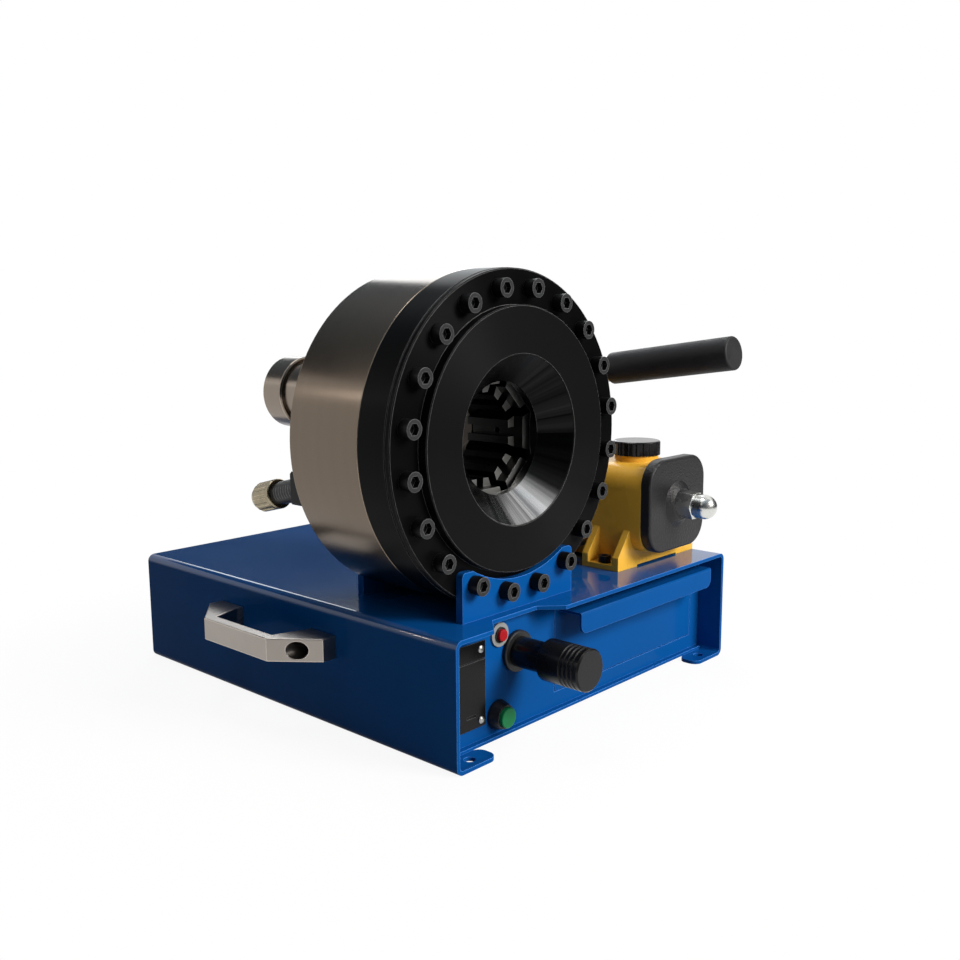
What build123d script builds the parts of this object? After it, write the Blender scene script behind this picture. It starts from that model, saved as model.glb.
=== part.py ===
from build123d import *
import math
import os

# Hand pumped hose crimping machine, in millimetres. X runs to the right, Y to the back and Z up.
# The origin lies on the floor, in the middle of the four foot holes. The crimping head lies along Y:
# a piston pushes eight dies forward into a cone, and they close on the hose.

os.makedirs("parts", exist_ok=True)

# ---- driving dimensions: base housing ----
BASE_WIDTH = 458
BASE_DEPTH = 508
BASE_HEIGHT = 125
SHEET = 4
BEND_RADIUS = 8
SIDE_FLANGE = 25
TAB_WIDTH = 55
TAB_CORNER = 10
FOOT_HOLE_RADIUS = 5.5
FOOT_HOLE_FROM_SIDE = 30
FOOT_HOLE_FROM_END = 13
PANEL_RECESS = 31
PANEL_SHEET = 3
PANEL_SIDE_GAP = 0.2
PLATE_SHEET = 3
NOTCH_LEFT = -180
NOTCH_RIGHT = -72
NOTCH_DEPTH = 21
NOTCH_SLANT = 22

# ---- driving dimensions: crimping head ----
HEAD_X = -105.5
HEAD_GAP = 1.5
HEAD_RADIUS = 161.5
# What stands round the head's axis keeps its share of the head's radius.
HEAD_SHARE = HEAD_RADIUS / 161.5
HEAD_SETBACK = 40
FLANGE_THICKNESS = 40
BARREL_LENGTH = 98
BORE_RADIUS = 125 * HEAD_SHARE
REAR_WALL = 19.2
BOSS_RADIUS = 127 * HEAD_SHARE
BOSS_HEIGHT = 10.6
MOUTH_RADIUS = 82 * HEAD_SHARE
PASSAGE_RADIUS = 55 * HEAD_SHARE
SPIGOT_LENGTH = 11
TAIL_RADIUS = 62 * HEAD_SHARE
TAIL_LENGTH = 57.7
TAIL_PLATE_RADIUS = 76 * HEAD_SHARE
TAIL_PLATE_THICKNESS = 8
FIT = 0.06
DIE_COUNT = 8
DIE_LENGTH = 68
DIE_SETBACK = 32
DIE_END_APOTHEM = 59.7 * HEAD_SHARE
DIE_TOP_APOTHEM = 84 * HEAD_SHARE
DIE_INNER_APOTHEM = 42.5 * HEAD_SHARE
DIE_SLOT_WIDTH = 9.4
DIE_SLOT_DEPTH = 8.5
DIE_GAP = 10
DIE_PIN_RADIUS = 3
DIE_PIN_DEPTH = 12
DIE_EAR_SETBACK = 12
CONE_ANGLE = 40

SEAL_WIDTH = 5
SEAL_DEPTH = 4
SEAL_SLACK = 0.1
CAP_SEAL_SETBACK = 3
TAIL_SEAL_SETBACK = 7
PISTON_SEALS = (8, 25)

# ---- driving dimensions: head fasteners and saddles ----
BOLT_COUNT = 20
BOLT_CIRCLE = 144 * HEAD_SHARE
BOLT_RADIUS = 6
BOLT_HEAD_RADIUS = 9
BOLT_HEAD_HEIGHT = 12
BOLT_SOCKET = 10
BOLT_GRIP = 22
SADDLE_THICKNESS = 8
SADDLE_WIDTH = 162
REAR_SADDLE_WIDTH = 147
SADDLE_HEIGHT = 47.7
SADDLE_ARC = HEAD_RADIUS - 28.5
SADDLE_SPAN = 36
HOLE_CLEARANCE = 0.1

# ---- driving dimensions: return springs ----
SPRING_CIRCLE = 115 * HEAD_SHARE
SPRING_ANGLE = 158
SPRING_ROD_RADIUS = 7
SPRING_NECK_RADIUS = 31 * HEAD_SHARE
SPRING_NECK_LENGTH = 35.3
SPRING_CAP_RADIUS = 35 * HEAD_SHARE
SPRING_CAP_LENGTH = 28.7
SPRING_ROOM_RADIUS = 22
SPRING_SEAT_DEPTH = 8
SPRING_COLLAR = 8
SPRING_COLLAR_RADIUS = 20
SPRING_CAP_ROOM = 25
SPRING_CAP_WALL = 5
SPRING_COLLAR_GAP = 9
SPRING_WIRE = 2
SPRING_COIL = 16
SPRING_TURNS = 5

# ---- driving dimensions: micrometer stop ----
STOP_CIRCLE = 140.8 * HEAD_SHARE
STOP_ANGLE = 198.7
STOP_TILT = 14
STOP_BLOCK_WIDTH = 30
STOP_BLOCK_HEIGHT = 32
STOP_BLOCK_DEPTH = 16
STOP_SLEEVE_RADIUS = 11.5
STOP_SLEEVE_LENGTH = 46
STOP_SLEEVE_INSIDE = 14
STOP_KNOB_RADIUS = 15
STOP_KNOB_LENGTH = 32
STOP_KNOB_FLUTES = 12
STOP_NOSE_RADIUS = 9
STOP_SPINDLE_RADIUS = 4
STOP_TRAVEL = 10
SWITCH_SIZE = 20
SWITCH_DEPTH = 22
SWITCH_X = HEAD_X - 89.5 * HEAD_SHARE
SWITCH_NOSE_RADIUS = 4
SWITCH_GAP = 1.2

# ---- driving dimensions: pump ----
PUMP_X = 145
PUMP_FOOT_WIDTH = 154
PUMP_FOOT_SETBACK = 38.8
PUMP_FOOT_DEPTH = 49
PUMP_BODY_WIDTH = 112
PUMP_BODY_LENGTH = 169.5
PUMP_BODY_TOP = 113.7
PUMP_BODY_BOTTOM = 17
PUMP_BODY_SETBACK = 24.7
PUMP_BODY_CORNER = 24
PUMP_HEAD_LENGTH = 52
PUMP_HEAD_WIDTH = 70
PUMP_RIB = 8
PUMP_PAD = 6
PUMP_BOLT_INSET = 9
FOOT_ARCH_INSET = 37
FOOT_ARCH_HEIGHT = 2
RIB_LOW = 15
RIB_HIGH = 43
COVER_WIDTH = 112
COVER_HEIGHT = 104.2
COVER_DEPTH = 12.4
COVER_CORNER = 28
COVER_MIDDLE_RISE = 69.4
NUT_ACROSS_FLATS = 28
NUT_LENGTH = 18
NUT_DOME_RADIUS = 13.6
NUT_BOSS = 6
NUT_NECK = 10
STUD_RADIUS = 6
CAP_RADIUS = 26.8
CAP_HEIGHT = 16
CAP_RIBS = 22
CAP_SETBACK = 69
NECK_RADIUS = 25
NECK_HEIGHT = 7
PLUNGER_RADIUS = 9
PLUNGER_HEAD_RADIUS = 11
PLUNGER_BORE_DEPTH = 60
GLAND_ACROSS_FLATS = 34
GLAND_HEIGHT = 9
RELEASE_RADIUS = 14
RELEASE_RISE = 40
PLUNGER_ARM = 32
PIVOT_HEIGHT = 32
PIVOT_RADIUS = 6
PIVOT_SETBACK = 232
ROCKER_WIDTH = 34
EAR_THICKNESS = 10
PIPE_RADIUS = 4
PIPE_BEND = 12
PORT_CIRCLE = 117 * HEAD_SHARE
PORT_ANGLE = -50
PIPE_SETBACK = 102
PIPE_RISE = 28.7
PIPE_X = 43.2
PIPE_REAR_GAP = 37.3
FITTING_RADIUS = 9
FITTING_LENGTH = 16
FITTING_OVERLAP = 12
PORT_BOSS_REACH = 5

# ---- driving dimensions: lever ----
LEVER_RISE = 7.7
LEVER_ABOVE_PIVOT = 54.5
LEVER_RADIUS = 15
LEVER_LENGTH = 313
GRIP_RADIUS = 18.2
GRIP_LENGTH = 157
SOCKET_RADIUS = 21
SOCKET_LENGTH = 76
SOCKET_BEHIND_PIVOT = 36
ROCKER_WEB = 24

# ---- driving dimensions: controls on the front panel ----
GREEN_X = 88.2 - BASE_WIDTH / 2
GREEN_Z = 25.7
BEZEL_RADIUS = 14.5
BEZEL_HEIGHT = 12
GREEN_CAP_RADIUS = 10
RED_X = 91.2 - BASE_WIDTH / 2
RED_Z = BASE_HEIGHT - 20.3
LEGEND_RADIUS = 11.8
RED_CAP_RADIUS = 5.8
BUTTON_BODY_RADIUS = 11
BUTTON_BODY_LENGTH = 30
GREEN_PROUD = 16
GREEN_TRAVEL = 4
RED_PROUD = 6.5
RED_TRAVEL = 2
LEGEND_THICKNESS = 2
RED_COLLAR = 1.7
PLATE_LEFT = 10.2 - BASE_WIDTH / 2
PLATE_RIGHT = 70.2 - BASE_WIDTH / 2
PLATE_BOTTOM = 21.2
PLATE_THICKNESS = 1.5
PLATE_LINE = 0.8
PLATE_BAND = 17
PLATE_TOP = BASE_HEIGHT - 20.3
TOOL_X = 116.2 - BASE_WIDTH / 2
TOOL_Z = BASE_HEIGHT - 42.3
HOLDER_RADIUS = 20.5
HOLDER_FLANGE = 5
HOLDER_WALL = 4
TOOL_GRIP_LENGTH = 51
TOOL_REACH = 90
TOOL_GRIP_RADIUS = 20.5
TOOL_NECK_RADIUS = 15
TOOL_SHANK_RADIUS = 11
TOOL_SHANK_LENGTH = 33

# ---- driving dimensions: drawer ----
DRAWER_LEFT = -53
DRAWER_RIGHT = BASE_WIDTH / 2 - 22
DRAWER_BOTTOM = 23.3
DRAWER_TOP = BASE_HEIGHT - 14
DRAWER_DEPTH = 250
DRAWER_GAP = 1
DRAWER_SHEET = 2
LIP_LEFT = DRAWER_LEFT + 6
LIP_RIGHT = DRAWER_RIGHT - 5
LIP_HEIGHT = 22
LIP_CORNER = 9
RUNNER_WIDTH = 18

# ---- driving dimensions: side handles ----
HANDLE_MIDDLE = 5.5
HANDLE_LENGTH = 193
HANDLE_HEIGHT = 23.5
HANDLE_Z = BASE_HEIGHT - 39.3
HANDLE_STANDOFF = 51
HANDLE_BAR = 11.5
HANDLE_STRAIGHT = 106
HANDLE_END = 16
HANDLE_FOOT = 39
HANDLE_HOLES = 153
HANDLE_BOLT_RADIUS = 5

# ---- places worked out from the dimensions ----
FRONT = -BASE_DEPTH / 2
PANEL_FACE = FRONT + PANEL_RECESS
PANEL_BACK = PANEL_FACE + PANEL_SHEET
INNER_WIDTH = BASE_WIDTH - 2 * SHEET
FLOOR_TOP = SHEET + PLATE_SHEET
HEAD_Z = BASE_HEIGHT + HEAD_GAP + HEAD_RADIUS
FLANGE_FACE = FRONT + HEAD_SETBACK
BARREL_FRONT = FLANGE_FACE + FLANGE_THICKNESS
BARREL_REAR = BARREL_FRONT + BARREL_LENGTH
CHAMBER_END = BARREL_REAR - REAR_WALL
SLOPE = math.tan(math.radians(CONE_ANGLE))
DIE_FRONT = FLANGE_FACE + DIE_SETBACK
DIE_MIDDLE = DIE_FRONT + DIE_LENGTH / 2
DIE_REAR = DIE_FRONT + DIE_LENGTH
SEAT_APOTHEM = DIE_END_APOTHEM + FIT / math.cos(math.radians(CONE_ANGLE))
SPIGOT_END = BARREL_FRONT + SPIGOT_LENGTH
PISTON_FRONT = 2 * DIE_MIDDLE - SPIGOT_END
PISTON_REAR = CHAMBER_END - 0.5
CAP_SEAL_FRONT = BARREL_FRONT + CAP_SEAL_SETBACK
TAIL_SEAL_FRONT = BARREL_REAR - TAIL_SEAL_SETBACK - SEAL_WIDTH
TAIL_END = PISTON_REAR + TAIL_LENGTH
DECK = BASE_HEIGHT


def block(x0, x1, y0, y1, z0, z1):
    """Box between two corners."""
    middle = Pos((x0 + x1) / 2, (y0 + y1) / 2, (z0 + z1) / 2)
    return middle * Box(x1 - x0, y1 - y0, z1 - z0)


def rod_y(x, z, radius, y0, y1):
    """Round bar along Y."""
    return Pos(x, (y0 + y1) / 2, z) * Rot(90, 0, 0) * Cylinder(radius, y1 - y0)


def rod_x(y, z, radius, x0, x1):
    """Round bar along X."""
    return Pos((x0 + x1) / 2, y, z) * Rot(0, 90, 0) * Cylinder(radius, x1 - x0)


def rod_z(x, y, radius, z0, z1):
    """Round bar along Z."""
    return Pos(x, y, (z0 + z1) / 2) * Cylinder(radius, z1 - z0)


def turned(profile, x, z):
    """Revolve (radius, y) points about an axis along Y through x, z."""
    face = make_face(Polyline(*profile, close=True))
    return Pos(x, 0, z) * revolve(face, Axis.Y)


def profile_y(points, y0, y1):
    """Extrude (x, z) points from y0 to y1."""
    face = Plane.XZ * make_face(Polyline(*points, close=True))
    return Pos(0, y1, 0) * extrude(face, y1 - y0)


def profile_x(points, x0, x1):
    """Extrude (y, z) points from x0 to x1."""
    face = Plane.YZ * make_face(Polyline(*points, close=True))
    return Pos(x0, 0, 0) * extrude(face, x1 - x0)


def around_head(radius, degrees):
    """Point at an angle round the head axis, from +X towards +Z."""
    angle = math.radians(degrees)
    return HEAD_X + radius * math.cos(angle), HEAD_Z + radius * math.sin(angle)


def bolt_angles():
    """Twenty even places, two of them beside the top and four on the saddle."""
    step = 360 / BOLT_COUNT
    return [90 - step / 2 - step * number for number in range(BOLT_COUNT)]


def saddle_angles():
    """Places of the bolts close to straight down, which hold the saddles."""
    return [angle for angle in bolt_angles() if abs(angle + 90) < SADDLE_SPAN]


def save(name, *solids):
    """Write one node, as one solid or as a group of like solids."""
    shape = solids[0] if len(solids) == 1 else Compound(children=list(solids))
    shape.label = name
    export_step(shape, f"parts/{name}.step")


# ---- base housing ----
def base_cover():
    """Bent sheet: top, two walls, inward flanges, and a tab with a foot hole at each corner."""
    outer = Pos(0, 0, BASE_HEIGHT / 2) * Box(BASE_WIDTH, BASE_DEPTH, BASE_HEIGHT)
    outer = fillet(outer.edges().filter_by(Axis.Y), BEND_RADIUS)
    inner = Pos(0, 0, BASE_HEIGHT / 2) * Box(INNER_WIDTH, BASE_DEPTH, BASE_HEIGHT - 2 * SHEET)
    inner = fillet(inner.edges().filter_by(Axis.Y), BEND_RADIUS - SHEET)
    cover = outer - inner
    half = BASE_WIDTH / 2
    flange_end = BASE_DEPTH / 2 - SIDE_FLANGE
    cover -= block(-half + SIDE_FLANGE, half - SIDE_FLANGE, -flange_end, flange_end, -1, SHEET + 1)
    gap = block(-half + TAB_WIDTH, half - TAB_WIDTH, -BASE_DEPTH, BASE_DEPTH, -1, SHEET + 1)
    cover -= gap
    corners = [
        edge for edge in cover.edges().filter_by(Axis.Z)
        if abs(abs(edge.center().X) - (half - TAB_WIDTH)) < 0.1
    ]
    cover = fillet(corners, TAB_CORNER)
    for side in (-1, 1):
        for end in (-1, 1):
            x = side * (half - FOOT_HOLE_FROM_SIDE)
            y = end * (BASE_DEPTH / 2 - FOOT_HOLE_FROM_END)
            cover -= rod_z(x, y, FOOT_HOLE_RADIUS, -1, SHEET + 1)
    notch = [
        (NOTCH_LEFT, FRONT - 1),
        (NOTCH_LEFT + NOTCH_SLANT, FRONT + NOTCH_DEPTH),
        (NOTCH_RIGHT - NOTCH_SLANT, FRONT + NOTCH_DEPTH),
        (NOTCH_RIGHT, FRONT - 1),
    ]
    cut = extrude(make_face(Polyline(*notch, close=True)), BASE_HEIGHT)
    cover -= Pos(0, 0, BASE_HEIGHT - 2 * SHEET) * cut
    for side in (-1, 1):
        for hole in (-1, 1):
            y = HANDLE_MIDDLE + hole * HANDLE_HOLES / 2
            ends = sorted((side * (half - SHEET - 1), side * (half + 1)))
            cover -= rod_x(y, HANDLE_Z, HANDLE_BOLT_RADIUS + HOLE_CLEARANCE, *ends)
    return cover


def bottom_plate():
    """Floor of the housing, resting on the inward flanges."""
    end = -PANEL_FACE + SIDE_FLANGE / 4
    half = INNER_WIDTH / 2 - BEND_RADIUS + SHEET
    return block(-half, half, -end, end, SHEET, FLOOR_TOP)


def front_panel():
    """Recessed front sheet with the drawer opening and the holes of the controls."""
    half = INNER_WIDTH / 2 - PANEL_SIDE_GAP
    panel = block(-half, half, PANEL_FACE, PANEL_BACK, FLOOR_TOP, BASE_HEIGHT - SHEET)
    upper = [edge for edge in panel.edges().filter_by(Axis.Y) if edge.center().Z > BASE_HEIGHT / 2]
    panel = fillet(upper, BEND_RADIUS - SHEET)
    opening = block(DRAWER_LEFT, DRAWER_RIGHT, FRONT, 0, DRAWER_BOTTOM, BASE_HEIGHT)
    panel -= opening
    holes = [
        (GREEN_X, GREEN_Z, BUTTON_BODY_RADIUS),
        (RED_X, RED_Z, RED_CAP_RADIUS + RED_COLLAR),
        (TOOL_X, TOOL_Z, TOOL_SHANK_RADIUS + HOLDER_WALL),
    ]
    for x, z, radius in holes:
        panel -= rod_y(x, z, radius + HOLE_CLEARANCE, PANEL_FACE - 1, PANEL_BACK + 1)
    return panel


def rear_panel():
    """Plain recessed rear sheet."""
    half = INNER_WIDTH / 2 - PANEL_SIDE_GAP
    panel = block(-half, half, -PANEL_BACK, -PANEL_FACE, FLOOR_TOP, BASE_HEIGHT - SHEET)
    upper = [edge for edge in panel.edges().filter_by(Axis.Y) if edge.center().Z > BASE_HEIGHT / 2]
    return fillet(upper, BEND_RADIUS - SHEET)


def saddle(width, y0, y1):
    """Upright plate on the deck, hollowed to the head and drilled for four head bolts."""
    plate = block(HEAD_X - width / 2, HEAD_X + width / 2, y0, y1, DECK, DECK + SADDLE_HEIGHT)
    tops = [edge for edge in plate.edges().filter_by(Axis.Y) if edge.center().Z > DECK + 1]
    plate = fillet(tops, 5)
    plate -= rod_y(HEAD_X, HEAD_Z, SADDLE_ARC, y0 - 1, y1 + 1)
    for angle in saddle_angles():
        x, z = around_head(BOLT_CIRCLE, angle)
        plate -= rod_y(x, z, BOLT_RADIUS + HOLE_CLEARANCE, y0 - 1, y1 + 1)
    return plate


# ---- crimping head ----
def die_cone(end_y, end_apothem, mouth_y):
    """Eight sided cone that the dies slide in, narrow at end_y."""
    mouth_apothem = end_apothem + abs(mouth_y - end_y) * SLOPE
    narrow = Plane(origin=(HEAD_X, end_y, HEAD_Z), x_dir=(1, 0, 0), z_dir=(0, 1, 0))
    wide = Plane(origin=(HEAD_X, mouth_y, HEAD_Z), x_dir=(1, 0, 0), z_dir=(0, 1, 0))
    turn = 180 / DIE_COUNT
    sections = [
        narrow * RegularPolygon(end_apothem, DIE_COUNT, major_radius=False, rotation=turn),
        wide * RegularPolygon(mouth_apothem, DIE_COUNT, major_radius=False, rotation=turn),
    ]
    return loft(sections, ruled=True)


def end_cap():
    """Black front flange: raised boss, mouth cone, spigot and the front die cone."""
    boss_face = FLANGE_FACE - BOSS_HEIGHT
    mouth_end = boss_face + MOUTH_RADIUS - PASSAGE_RADIUS
    groove = 5.5
    profile = [
        (MOUTH_RADIUS, boss_face),
        (BOSS_RADIUS - 1, boss_face),
        (BOSS_RADIUS, boss_face + 1),
        (BOSS_RADIUS, FLANGE_FACE),
        (HEAD_RADIUS - 1.5, FLANGE_FACE),
        (HEAD_RADIUS - 0.5, FLANGE_FACE + 1),
        (HEAD_RADIUS - 0.5, FLANGE_FACE + groove),
        (HEAD_RADIUS - 1.2, FLANGE_FACE + groove),
        (HEAD_RADIUS - 1.2, FLANGE_FACE + groove + 1),
        (HEAD_RADIUS, FLANGE_FACE + groove + 1),
        (HEAD_RADIUS, BARREL_FRONT),
        (BORE_RADIUS - FIT, BARREL_FRONT),
        (BORE_RADIUS - FIT, CAP_SEAL_FRONT),
        (BORE_RADIUS - SEAL_DEPTH, CAP_SEAL_FRONT),
        (BORE_RADIUS - SEAL_DEPTH, CAP_SEAL_FRONT + SEAL_WIDTH),
        (BORE_RADIUS - FIT, CAP_SEAL_FRONT + SEAL_WIDTH),
        (BORE_RADIUS - FIT, SPIGOT_END),
        (PASSAGE_RADIUS, SPIGOT_END),
        (PASSAGE_RADIUS, mouth_end),
    ]
    cap = turned(profile, HEAD_X, HEAD_Z)
    narrow_apothem = PASSAGE_RADIUS - 5
    narrow_y = DIE_FRONT - (SEAT_APOTHEM - narrow_apothem) / SLOPE
    cap -= die_cone(narrow_y, narrow_apothem, SPIGOT_END + 1)
    for angle in bolt_angles():
        x, z = around_head(BOLT_CIRCLE, angle)
        cap -= rod_y(x, z, BOLT_RADIUS + 0.75, FLANGE_FACE - 1, BARREL_FRONT + 1)
    return cap


def barrel():
    """Cylinder with a thick rear wall, bored for the piston, its tail, the rods and the oil port."""
    profile = [
        (BORE_RADIUS, BARREL_FRONT),
        (HEAD_RADIUS - 0.8, BARREL_FRONT),
        (HEAD_RADIUS, BARREL_FRONT + 0.8),
        (HEAD_RADIUS, BARREL_REAR - 3),
        (HEAD_RADIUS - 3, BARREL_REAR),
        (TAIL_RADIUS + FIT, BARREL_REAR),
        (TAIL_RADIUS + FIT, TAIL_SEAL_FRONT + SEAL_WIDTH),
        (TAIL_RADIUS + SEAL_DEPTH, TAIL_SEAL_FRONT + SEAL_WIDTH),
        (TAIL_RADIUS + SEAL_DEPTH, TAIL_SEAL_FRONT),
        (TAIL_RADIUS + FIT, TAIL_SEAL_FRONT),
        (TAIL_RADIUS + FIT, CHAMBER_END),
        (BORE_RADIUS, CHAMBER_END),
    ]
    body = turned(profile, HEAD_X, HEAD_Z)
    for angle in bolt_angles():
        x, z = around_head(BOLT_CIRCLE, angle)
        body -= rod_y(x, z, BOLT_RADIUS + FIT, BARREL_FRONT - 1, BARREL_FRONT + BOLT_GRIP + 2)
    for angle in saddle_angles():
        x, z = around_head(BOLT_CIRCLE, angle)
        body -= rod_y(x, z, BOLT_RADIUS + FIT, BARREL_REAR - BOLT_GRIP - 2, BARREL_REAR + 1)
    for angle in (SPRING_ANGLE, SPRING_ANGLE - 180):
        x, z = around_head(SPRING_CIRCLE, angle)
        body -= rod_y(x, z, SPRING_ROD_RADIUS + FIT, CHAMBER_END - 1, BARREL_REAR)
        body -= rod_y(x, z, SPRING_ROOM_RADIUS, BARREL_REAR - SPRING_SEAT_DEPTH, BARREL_REAR + 1)
    x, z = around_head(PORT_CIRCLE, PORT_ANGLE)
    body -= rod_y(x, z, PIPE_RADIUS, CHAMBER_END - 1, BARREL_REAR + 1)
    return body


def piston():
    """Ring piston with the rear die cone and a hollow tail that the hose passes through."""
    rim = BORE_RADIUS - FIT
    groove = BORE_RADIUS - SEAL_DEPTH
    profile = [(PASSAGE_RADIUS, PISTON_FRONT), (rim, PISTON_FRONT)]
    for start in PISTON_SEALS:
        front = PISTON_FRONT + start
        back = front + SEAL_WIDTH
        profile += [(rim, front), (groove, front), (groove, back), (rim, back)]
    profile += [
        (rim, PISTON_REAR),
        (TAIL_RADIUS, PISTON_REAR),
        (TAIL_RADIUS, TAIL_END - 1),
        (TAIL_RADIUS - 1, TAIL_END),
        (PASSAGE_RADIUS, TAIL_END),
    ]
    body = turned(profile, HEAD_X, HEAD_Z)
    narrow_apothem = PASSAGE_RADIUS - 5
    narrow_y = DIE_REAR + (SEAT_APOTHEM - narrow_apothem) / SLOPE
    return body - die_cone(narrow_y, narrow_apothem, PISTON_FRONT - 1)


def ring(inner, outer, y0, y1):
    """Seal ring round the head axis."""
    return turned([(inner, y0), (outer, y0), (outer, y1), (inner, y1)], HEAD_X, HEAD_Z)


def cylinder_seals():
    """Seal of the cap's spigot and seal of the piston's tail."""
    cap_seal = ring(
        BORE_RADIUS - SEAL_DEPTH + SEAL_SLACK, BORE_RADIUS - FIT,
        CAP_SEAL_FRONT + SEAL_SLACK, CAP_SEAL_FRONT + SEAL_WIDTH - SEAL_SLACK)
    tail_seal = ring(
        TAIL_RADIUS + FIT, TAIL_RADIUS + SEAL_DEPTH - SEAL_SLACK,
        TAIL_SEAL_FRONT + SEAL_SLACK, TAIL_SEAL_FRONT + SEAL_WIDTH - SEAL_SLACK)
    return [cap_seal, tail_seal]


def piston_seals():
    """Two seal rings in the piston's rim."""
    seals = []
    for start in PISTON_SEALS:
        front = PISTON_FRONT + start + SEAL_SLACK
        back = PISTON_FRONT + start + SEAL_WIDTH - SEAL_SLACK
        seals.append(ring(BORE_RADIUS - SEAL_DEPTH + SEAL_SLACK, BORE_RADIUS - FIT / 2, front, back))
    return seals


def tail_plate():
    """Stop ring on the piston's tail, which the sensor reads."""
    return ring(TAIL_RADIUS + FIT, TAIL_PLATE_RADIUS, TAIL_END - TAIL_PLATE_THICKNESS, TAIL_END)


def die(number):
    """Die wedge: two slopes outside, and inside two ears, set back, with a slot between them."""
    slopes = [
        (DIE_FRONT, DIE_INNER_APOTHEM),
        (DIE_FRONT, DIE_END_APOTHEM),
        (DIE_FRONT + (DIE_TOP_APOTHEM - DIE_END_APOTHEM) / SLOPE, DIE_TOP_APOTHEM),
        (DIE_REAR - (DIE_TOP_APOTHEM - DIE_END_APOTHEM) / SLOPE, DIE_TOP_APOTHEM),
        (DIE_REAR, DIE_END_APOTHEM),
        (DIE_REAR, DIE_INNER_APOTHEM),
    ]
    wedge = profile_x(slopes, -DIE_TOP_APOTHEM, DIE_TOP_APOTHEM)
    spread = math.tan(math.radians(180 / DIE_COUNT))
    edge = DIE_GAP / 2 / math.cos(math.radians(180 / DIE_COUNT))
    reach = 2 * DIE_TOP_APOTHEM
    sector = [
        (-(reach * spread - edge), reach),
        (reach * spread - edge, reach),
        (20 * spread - edge, 20),
        (-(20 * spread - edge), 20),
    ]
    wedge = wedge & profile_y(sector, DIE_FRONT - 1, DIE_REAR + 1)
    slot_top = DIE_INNER_APOTHEM + DIE_SLOT_DEPTH
    half_slot = DIE_SLOT_WIDTH / 2
    wedge -= block(-half_slot, half_slot, DIE_FRONT - 1, DIE_REAR + 1, 0, slot_top)
    wedge -= rod_z(0, DIE_MIDDLE, DIE_PIN_RADIUS, 0, slot_top + DIE_PIN_DEPTH)
    wedge -= block(-reach, reach, DIE_FRONT - 1, DIE_FRONT + DIE_EAR_SETBACK, 0, slot_top)
    turn = Rot(0, 90 - number * 360 / DIE_COUNT, 0)
    return Pos(HEAD_X, 0, HEAD_Z) * turn * wedge


def head_bolt(x, z, face, grip_end, outward):
    """Socket head bolt along Y, its head standing on face, on the outward side."""
    head_end = face + outward * BOLT_HEAD_HEIGHT
    bolt = rod_y(x, z, BOLT_HEAD_RADIUS, *sorted((face, head_end)))
    bolt += rod_y(x, z, BOLT_RADIUS, *sorted((face, grip_end)))
    socket_end = head_end - outward * BOLT_HEAD_HEIGHT / 2
    plane = Plane(origin=(x, min(socket_end, head_end), z), x_dir=(1, 0, 0), z_dir=(0, 1, 0))
    hexagon = plane * RegularPolygon(BOLT_SOCKET / 2, 6, major_radius=False)
    return bolt - extrude(hexagon, BOLT_HEAD_HEIGHT / 2)


def flange_bolts():
    """Twenty bolts, all with their heads in one plane."""
    seat = FLANGE_FACE - SADDLE_THICKNESS
    return [
        head_bolt(*around_head(BOLT_CIRCLE, angle), seat, BARREL_FRONT + BOLT_GRIP, -1)
        for angle in bolt_angles()
    ]


def bolt_spacers():
    """Spacers as thick as the saddle, under the sixteen bolts beside it."""
    spacers = []
    for angle in bolt_angles():
        if angle in saddle_angles():
            continue
        x, z = around_head(BOLT_CIRCLE, angle)
        spacer = rod_y(x, z, BOLT_HEAD_RADIUS, FLANGE_FACE - SADDLE_THICKNESS, FLANGE_FACE)
        spacers.append(spacer - rod_y(x, z, BOLT_RADIUS + 0.4, FLANGE_FACE - 20, FLANGE_FACE + 1))
    return spacers


def saddle_bolts():
    """Four bolts that hold the rear saddle to the barrel."""
    seat = BARREL_REAR + SADDLE_THICKNESS
    return [
        head_bolt(*around_head(BOLT_CIRCLE, angle), seat, BARREL_REAR - BOLT_GRIP, 1)
        for angle in saddle_angles()
    ]


# ---- return springs ----
SPRING_ENDS = [around_head(SPRING_CIRCLE, SPRING_ANGLE), around_head(SPRING_CIRCLE, SPRING_ANGLE - 180)]
NECK_END = BARREL_REAR + SPRING_NECK_LENGTH
SPRING_CAP_END = NECK_END + SPRING_CAP_LENGTH
COLLAR_END = SPRING_CAP_END - SPRING_CAP_WALL - SPRING_COLLAR_GAP
SPRING_FRONT = BARREL_REAR - SPRING_SEAT_DEPTH


def spring_neck(x, z):
    """Bright tube screwed on the rear wall."""
    neck = rod_y(x, z, SPRING_NECK_RADIUS, BARREL_REAR, NECK_END)
    return neck - rod_y(x, z, SPRING_ROOM_RADIUS, BARREL_REAR - 1, NECK_END + 1)


def spring_cap(x, z):
    """Turned steel cap that closes the tube."""
    cap = rod_y(x, z, SPRING_CAP_RADIUS, NECK_END, SPRING_CAP_END)
    cap = chamfer(cap.edges().filter_by(GeomType.CIRCLE), 1.5)
    return cap - rod_y(x, z, SPRING_CAP_ROOM, NECK_END - 1, SPRING_CAP_END - SPRING_CAP_WALL)


def return_rod(x, z):
    """Rod on the piston, with the collar that pushes the spring."""
    rod = rod_y(x, z, SPRING_ROD_RADIUS, PISTON_REAR, COLLAR_END)
    return rod + rod_y(x, z, SPRING_COLLAR_RADIUS, COLLAR_END - SPRING_COLLAR, COLLAR_END)


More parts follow.
